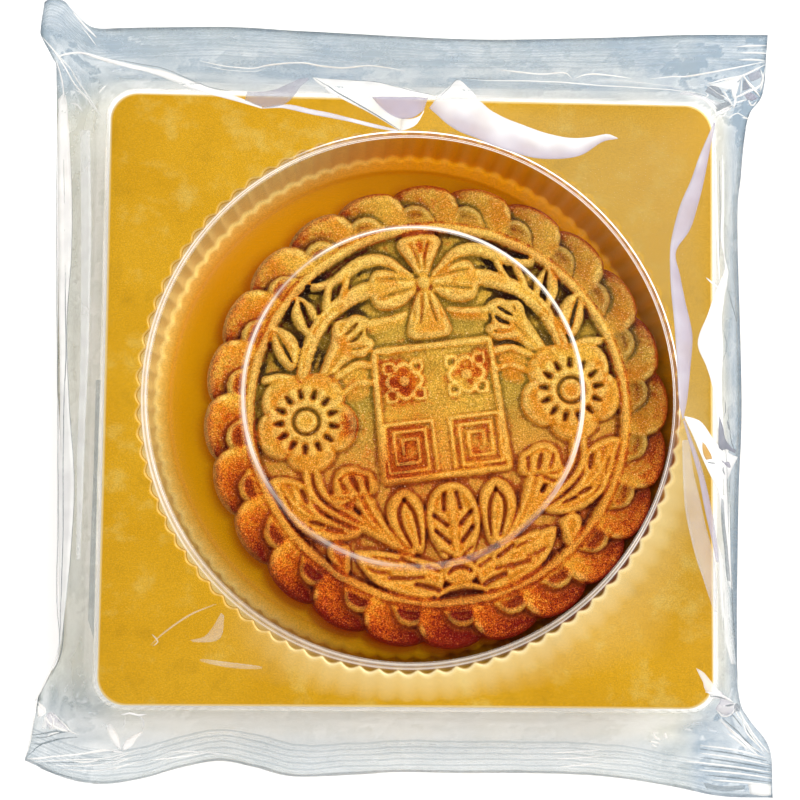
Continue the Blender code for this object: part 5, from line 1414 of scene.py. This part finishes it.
# slack facets, with painted highlights, reflections and shadows: both edges, whiteness,
# tone; a pair runs from the first edge to the second
FOLD_PATCHES = (
    (((58, 56), (66, 53), (82, 52), (101, 57), (130, 64), (150, 68), (165, 71), (182, 77),
      (205, 86), (235, 96), (262, 107)),
     ((58, 58), (66, 55), (82, 54), (101, 60), (130, 68), (150, 73), (165, 78), (182, 85),
      (205, 93), (235, 101), (262, 109)), 0.95, 1),
    (((58, 100), (58, 200), (59, 300), (60, 400), (58, 500), (59, 600), (59, 640)),
     ((66, 92), (70, 150), (72, 240), (67, 320), (69, 400), (74, 480), (68, 580), (61, 645)),
      0.85, 1),
    (((80, 130), (81, 250), (80, 360), (77, 460), (76, 560)),
     ((90, 130), (91, 250), (88, 360), (84, 460), (80, 560)), 0.4, 1),
    (((96, 380), (94, 460), (91, 540), (88, 620)),
     ((101, 380), (98, 460), (96, 540), (94, 640)), 0.3, 0),
    (((247, 92), (262, 92), (280, 88), (296, 80), (308, 77)),
     ((245, 101), (260, 107), (272, 108), (290, 101), (309, 79)), 0.42, 0.3),
    (((262, 108), (280, 105), (292, 105), (310, 109), (330, 113), (350, 118), (375, 124),
      (398, 130)),
     ((262, 109), (280, 108), (292, 110), (310, 114), (330, 118), (350, 122), (375, 128),
      (398, 132)), 0.92, 0.85),
    (((313, 77), (345, 80), (378, 82), (405, 88), (432, 96)),
     ((313, 78), (324, 88), (340, 97), (376, 97), (432, 97)), 0.95, 1),
    (((338, 96), (352, 97), (370, 97), (378, 104), (389, 113), (402, 119)),
     ((338, 97), (350, 103), (364, 110), (378, 118), (390, 125), (400, 131)), 0.8, 1),
    (((372, 97), (385, 97), (400, 97), (416, 97), (428, 98)),
     ((376, 103), (384, 111), (396, 118), (412, 118), (424, 110)), 0.7, 0.5),
    (((402, 119), (410, 119), (419, 116), (424, 110)),
     ((400, 131), (408, 129), (417, 124), (424, 112)), 0.85, 1),
    (((436, 97), (446, 89), (456, 80), (463, 82), (470, 89), (477, 98)),
     ((436, 98), (447, 98), (457, 98), (464, 98), (471, 98), (477, 99)), 0.92, 1),
    (((436, 99), (450, 99), (464, 99), (478, 100), (490, 110), (505, 118), (520, 124), (545, 133),
      (570, 138), (590, 137), (607, 134), (618, 138)),
     ((429, 108), (437, 115), (447, 124), (460, 132), (476, 138), (492, 145), (512, 152),
      (535, 158), (560, 159), (582, 155), (602, 142), (618, 139)), (0.7, 0.98), (0.65, 1)),
    (((725, 80), (735, 78), (742, 76)),
     ((733, 98), (735, 97), (737, 92)), 0.6, 1),
    (((714, 122), (700, 155), (691, 180), (680, 205), (672, 235), (670, 255), (671, 290),
      (674, 320), (677, 370), (679, 400), (682, 419)),
     ((715, 124), (709, 155), (704, 180), (698, 205), (690, 230), (676, 252), (680, 275),
      (685, 300), (692, 335), (690, 370), (687, 400), (683, 420)), (0.86, 0.7), (0.72, 0.6)),
    (((683, 421), (688, 440), (694, 460), (699, 480), (705, 510), (711, 537), (716, 562)),
     ((685, 420), (692, 440), (700, 462), (706, 484), (712, 512), (717, 540), (719, 562)),
      (0.7, 0.45), (0.62, 0.45)),
    (((682, 440), (683, 480), (685, 510), (690, 535), (696, 558), (704, 582), (714, 612)),
     ((689, 440), (693, 470), (700, 500), (706, 526), (712, 550), (717, 580), (717, 612)),
      0.24, 0.8),
    (((727, 262), (719, 283), (713, 298), (707, 316), (699, 335), (698, 348), (706, 366),
      (712, 385), (716, 410), (719, 445)),
     ((729, 272), (726, 292), (723, 308), (722, 325), (723, 340), (723, 355), (722, 375),
      (722, 395), (723, 420), (724, 445)), 0.95, 1),
    (((684, 416), (693, 418), (701, 422), (708, 431), (717, 444), (728, 452), (738, 457)),
     ((684, 417), (688, 426), (694, 439), (700, 453), (706, 467), (713, 481), (720, 497)),
      0.95, 1),
    (((717, 446), (716, 470), (718, 492), (722, 520), (726, 550), (729, 585)),
     ((729, 450), (727, 470), (728, 495), (729, 522), (731, 555), (733, 590)), 0.92, 1),
    (((718, 545), (719, 580), (721, 612), (725, 640), (731, 664)),
     ((727, 570), (730, 592), (733, 620), (735, 645), (737, 665)), (0.65, 0.0), 1),
    (((721, 498), (721, 520), (724, 548), (727, 580)),
     ((723, 500), (725, 520), (728, 548), (731, 582)), 0.5, 0),
    (((696, 668), (703, 672), (710, 680), (717, 688), (722, 695)),
     ((699, 675), (703, 682), (705, 690), (712, 695), (721, 697)), 0.55, 1),
    (((721, 698), (727, 700), (733, 703), (737, 707)),
     ((715, 709), (721, 713), (728, 717), (735, 712)), 0.7, 0.8),
    (((36, 703), (40, 707), (46, 711)),
     ((38, 717), (42, 714), (46, 712)), 0.9, 1),
    (((47, 714), (53, 712), (60, 720), (70, 731)),
     ((44, 722), (48, 727), (58, 729), (69, 732)), 0.5, 0.8),
    (((106, 727), (110, 723), (115, 730), (119, 738), (121, 749)),
     ((106, 728), (110, 738), (114, 744), (118, 748), (121, 750)), 0.8, 1),
    (((122, 749), (125, 741), (132, 736), (142, 731)),
     ((123, 751), (131, 747), (137, 739), (143, 733)), 0.8, 1),
    (((190, 640), (204, 637), (213, 627), (221, 613)),
     ((193, 642), (212, 642), (222, 636), (224, 616)), 0.15, 0.9),
    (((748, 784), (760, 783), (771, 786)),
     ((750, 794), (762, 796), (771, 795)), 0.7, 1),
    (((703, 782), (722, 786), (745, 785)),
     ((706, 788), (724, 791), (744, 789)), 0.35, 0),
    (((702, 442), (702, 448), (703, 454), (706, 460)),
     ((705, 445), (708, 450), (711, 455), (712, 459)), 0.75, -0.5),
    (((719, 416), (723, 428), (724, 436), (727, 442), (731, 447), (736, 450)),
     ((718, 430), (718, 440), (718, 447), (722, 451), (726, 449), (735, 453)), 0.85, 0.2),
    (((721, 460), (725, 462), (729, 462), (731, 467)),
     ((722, 462), (725, 465), (727, 467), (730, 468)), 0.7, 0.3),
    (((708, 84), (722, 81), (735, 77), (741, 75)),
     ((712, 86), (724, 89), (731, 92), (737, 88)), 0.55, 1),
    (((709, 86), (717, 87), (722, 92), (725, 97)),
     ((705, 91), (711, 94), (717, 98), (723, 100)), 0.5, 0.15),
    (((715, 105), (722, 103), (728, 102), (732, 107)),
     ((715, 113), (722, 110), (728, 108), (732, 107)), 0.55, 0.1),
    (((743, 80), (747, 83), (750, 88)),
     ((742, 91), (746, 90), (749, 89)), 0.5, 0.2),
    (((744, 95), (750, 93), (756, 96), (758, 98)),
     ((746, 99), (751, 101), (755, 100), (758, 98)), 0.5, 0.3),
    (((747, 75), (753, 73), (760, 69)),
     ((750, 82), (756, 80), (761, 77)), 0.4, 0.25),
    (((680, 92), (690, 92), (700, 95), (710, 99), (722, 103)),
     ((680, 95), (692, 96), (702, 99), (712, 104), (717, 110)), 0.4, 0.9),
    (((709, 694), (713, 690), (718, 690), (724, 695), (728, 699)),
     ((711, 698), (716, 699), (722, 699), (727, 700)), 0.7, 0.9),
    (((716, 709), (719, 705), (724, 703), (730, 703), (736, 703)),
     ((720, 713), (725, 715), (729, 714), (732, 710), (736, 704)), 0.6, 0.9),
    (((734, 705), (737, 703), (740, 706)),
     ((734, 713), (737, 711), (740, 712)), 0.5, 0.1),
    (((41, 728), (44, 720), (45, 715)),
     ((46, 729), (47, 724), (46, 716)), 0.5, 1),
    (((51, 722), (56, 720), (62, 726), (69, 731)),
     ((49, 729), (56, 729), (62, 731), (68, 732)), 0.5, 1),
)


def on_film(route):
    """Where points picked on the photograph lie on the draped film, to a tenth of a millimetre:
    each line of sight is followed down to the film, whose height is found again six times."""
    route, middle = np.asarray(route, float), PHOTO_SIDE / 2
    sight = np.column_stack([route[:, 0] - middle, middle - route[:, 1],
                             np.full(len(route), -PHOTO_SIDE * LENS / SENSOR)])
    sight = sight @ np.array(Euler(CAMERA_TURN).to_matrix()).T
    height = np.full(len(route), LID_FLANGE_TOP)
    for _ in range(6):
        drop = (height - CAMERA_PLACE[2]) / sight[:, 2]
        place = CAMERA_PLACE + sight * drop[:, None]
        height = drape(place[:, 0], place[:, 1])[0]
    return np.round(place[:, :2], 1)


def even_path(points, count):
    """A smooth curve through the points, as count points evenly spaced along it."""
    path = smooth_path(points, 8)
    way = np.concatenate([[0.0], np.cumsum(np.hypot(*np.diff(path, axis=0).T))])
    at = np.linspace(0.0, way[-1], count)
    return np.column_stack([np.interp(at, way, path[:, k]) for k in (0, 1)])


def route_length(points):
    """Length of a line through points."""
    return float(np.hypot(*np.diff(np.asarray(points, float), axis=0).T).sum())


def crease_edges(route, width):
    """Both edges of a sharp fold, which narrows to a third of its width at its ends."""
    path = even_path(route, max(6, int(route_length(route) / 0.8)))
    way = np.gradient(path, axis=0)
    normal = np.column_stack([-way[:, 1], way[:, 0]]) / np.hypot(*way.T)[:, None]
    share = np.linspace(0.0, 1.0, len(path))
    half = 0.5 * width * (0.35 + 0.65 * np.sin(math.pi * share) ** 0.6)
    return path + normal * half[:, None], path - normal * half[:, None]


def fold_strip(first, second, columns, lift):
    """A closed flat lens between two edges, laid on the front film: its points and faces, and
    how far each row is from the thinned ends, 0 to 1."""
    run, wide = np.gradient(first, axis=0), second - first
    if (run[:, 0] * wide[:, 1] - run[:, 1] * wide[:, 0]).sum() < 0:
        first, second = second, first
    share = np.linspace(0.0, 1.0, columns)
    plan = first[:, None] * (1 - share)[None, :, None] + second[:, None] * share[None, :, None]
    level = front_film(plan[..., 0].ravel(), plan[..., 1].ravel())[0].reshape(plan.shape[:2])
    breadth = float(np.hypot(*wide.T).mean())
    lens = 4 * share * (1 - share) * min(0.3 * breadth, 0.2)
    rows = len(first)
    ends = np.clip(6.0 * np.minimum(np.arange(rows), np.arange(rows)[::-1]) / rows, 0.0, 1.0)
    over = level + lift + lens * ends[:, None]
    points = np.concatenate([np.concatenate([plan.reshape(-1, 2), z.reshape(-1, 1)], axis=1)
                             for z in (over, level + lift - 0.03)])
    loop, grid = rim_loop(rows, columns), grid_faces(rows, columns)
    under = loop + rows * columns
    wall = np.stack([loop, under, np.roll(under, -1), np.roll(loop, -1)], axis=-1)
    return points, np.concatenate([grid[:, ::-1], grid + rows * columns, wall[:, ::-1]]), ends


def make_folds(material):
    """Every sharp fold and slack facet of the front film, in one mesh that carries their painted
    highlights, reflections and shadows. Each is a strip with its count of columns, whiteness,
    tone, the share of white at its ends, and its lift in mm."""
    strips = [(*crease_edges(on_film(route), width), 3, white, tone, 0.5, 0.28)
              for route, width, white, tone in FOLD_LINES]
    for *picked, white, tone in FOLD_PATCHES:
        first, second = (on_film(edge) for edge in picked)
        count = max(8, int(route_length(first)))
        edges = even_path(first, count), even_path(second, count)
        breadth = float(np.hypot(*(edges[0] - edges[1]).T).max())
        lift = 0.3 if np.max(tone) < 0.4 else 0.06
        strips.append((*edges, int(np.clip(breadth / 0.9, 4, 12)), white, tone, 0.75, lift))
    points, faces, whites, tones, total = [], [], [], [], 0
    for first, second, columns, white, tone, floor, lift in strips:
        more, quads, ends = fold_strip(first, second, columns, lift)
        # white and tone may run from one edge's value to the other's
        across = np.linspace(0.0, 1.0, columns)[None]
        white, tone = (low + (high - low) * across for low, high in
                       (np.broadcast_to(pair, 2) for pair in (white, tone)))
        white = white * (floor + (1 - floor) * ends)[:, None]
        tone = np.broadcast_to(tone, white.shape)
        cloud = lattice_noise(more[:, 0], more[:, 1], 3.5, 71)
        points.append(more)
        faces.append(quads + total)
        whites.append(np.tile(white.ravel(), 2) * (0.9 + 0.1 * cloud))
        tones.append(np.tile(tone.ravel(), 2) * (0.93 + 0.07 * cloud))
        total += len(more)
    return add_piece("film_folds", np.concatenate(points), np.concatenate(faces).tolist(),
                     material, "film_bag", {"white": np.concatenate(whites),
                                            "tone": np.concatenate(tones)})


# --- light and camera ------------------------------------------------------------------

FLOOR_HALF, FLOOR_GAP = 1.6, 0.0002     # in metres


def area_light(name, place, target, size, watts):
    """A square softbox at place, facing target; place, target and size are in metres."""
    lamp = bpy.data.lights.new(name, "AREA")
    lamp.size, lamp.energy = size, watts
    box = bpy.data.objects.new(name, lamp)
    bpy.context.scene.collection.objects.link(box)
    box.location = place
    way = Vector(target) - Vector(place)
    box.rotation_euler = way.to_track_quat("-Z", "Y").to_euler()
    return box


def make_studio():
    """White paper below, a white surround, dimmer low down and overhead, and two softboxes."""
    mesh = bpy.data.meshes.new("studio_floor")
    corners = [(x * FLOOR_HALF, y * FLOOR_HALF, 0) for x, y in ((-1, -1), (1, -1), (1, 1), (-1, 1))]
    mesh.from_pydata(corners, [], [(0, 1, 2, 3)])
    mesh.materials.append(paper_floor())
    floor = bpy.data.objects.new("studio_floor", mesh)
    floor.location.z = -FLOOR_GAP
    bpy.context.scene.collection.objects.link(floor)
    world = bpy.data.worlds.new("white surround")
    bpy.context.scene.world = world
    world.use_nodes = True
    world.node_tree.nodes.clear()
    add = partial(add_node, world.node_tree)
    up = add("SeparateXYZ", add("TexCoord", out="Generated"), out="Z")
    sky = add("Math MULTIPLY", add("MapRange SMOOTHSTEP", up, 0.0, 0.75, 0.55, 1.0),
              add("MapRange SMOOTHSTEP", up, 0.9, 0.965, 1.0, 0.25))
    add("OutputWorld", add("Background", coated(add, "#000000", (sky, "#FFFFFF")), 0.64))
    area_light("key_softbox", (0.85, 0.68, 1.0), (0, 0, 0), 0.7, 11.0)
    overhead = area_light("overhead_softbox", (-0.02, -0.02, 0.62), (0, 0, 0), 0.3, 2.2)
    overhead.visible_glossy = False         # it lights the well but isn't mirrored in the film


def make_camera():
    """The camera that took the photograph, as fitted to it."""
    lens = bpy.data.cameras.new("camera")
    lens.lens, lens.sensor_width = LENS, SENSOR
    camera = bpy.data.objects.new("camera", lens)
    camera.location = Vector(CAMERA_PLACE) * MM
    camera.rotation_euler = CAMERA_TURN
    bpy.context.scene.collection.objects.link(camera)
    bpy.context.scene.camera = camera


make_camera()
make_cake(baked_crust())
make_tray(gold_tray())
for clear_piece in (make_lid(clear_pet()), make_film(opp_film()), make_folds(creased_film())):
    # light passes clear sheet almost undimmed
    clear_piece.visible_shadow = clear_piece.visible_diffuse = False
    clear_piece.visible_glossy = False
make_studio()

scene = bpy.context.scene
scene.view_settings.view_transform = "Standard"
scene.cycles.transparent_max_bounces = 16
scene.cycles.max_bounces = 5
scene.cycles.diffuse_bounces = 2
scene.cycles.glossy_bounces = 2
scene.cycles.adaptive_threshold = 0.04
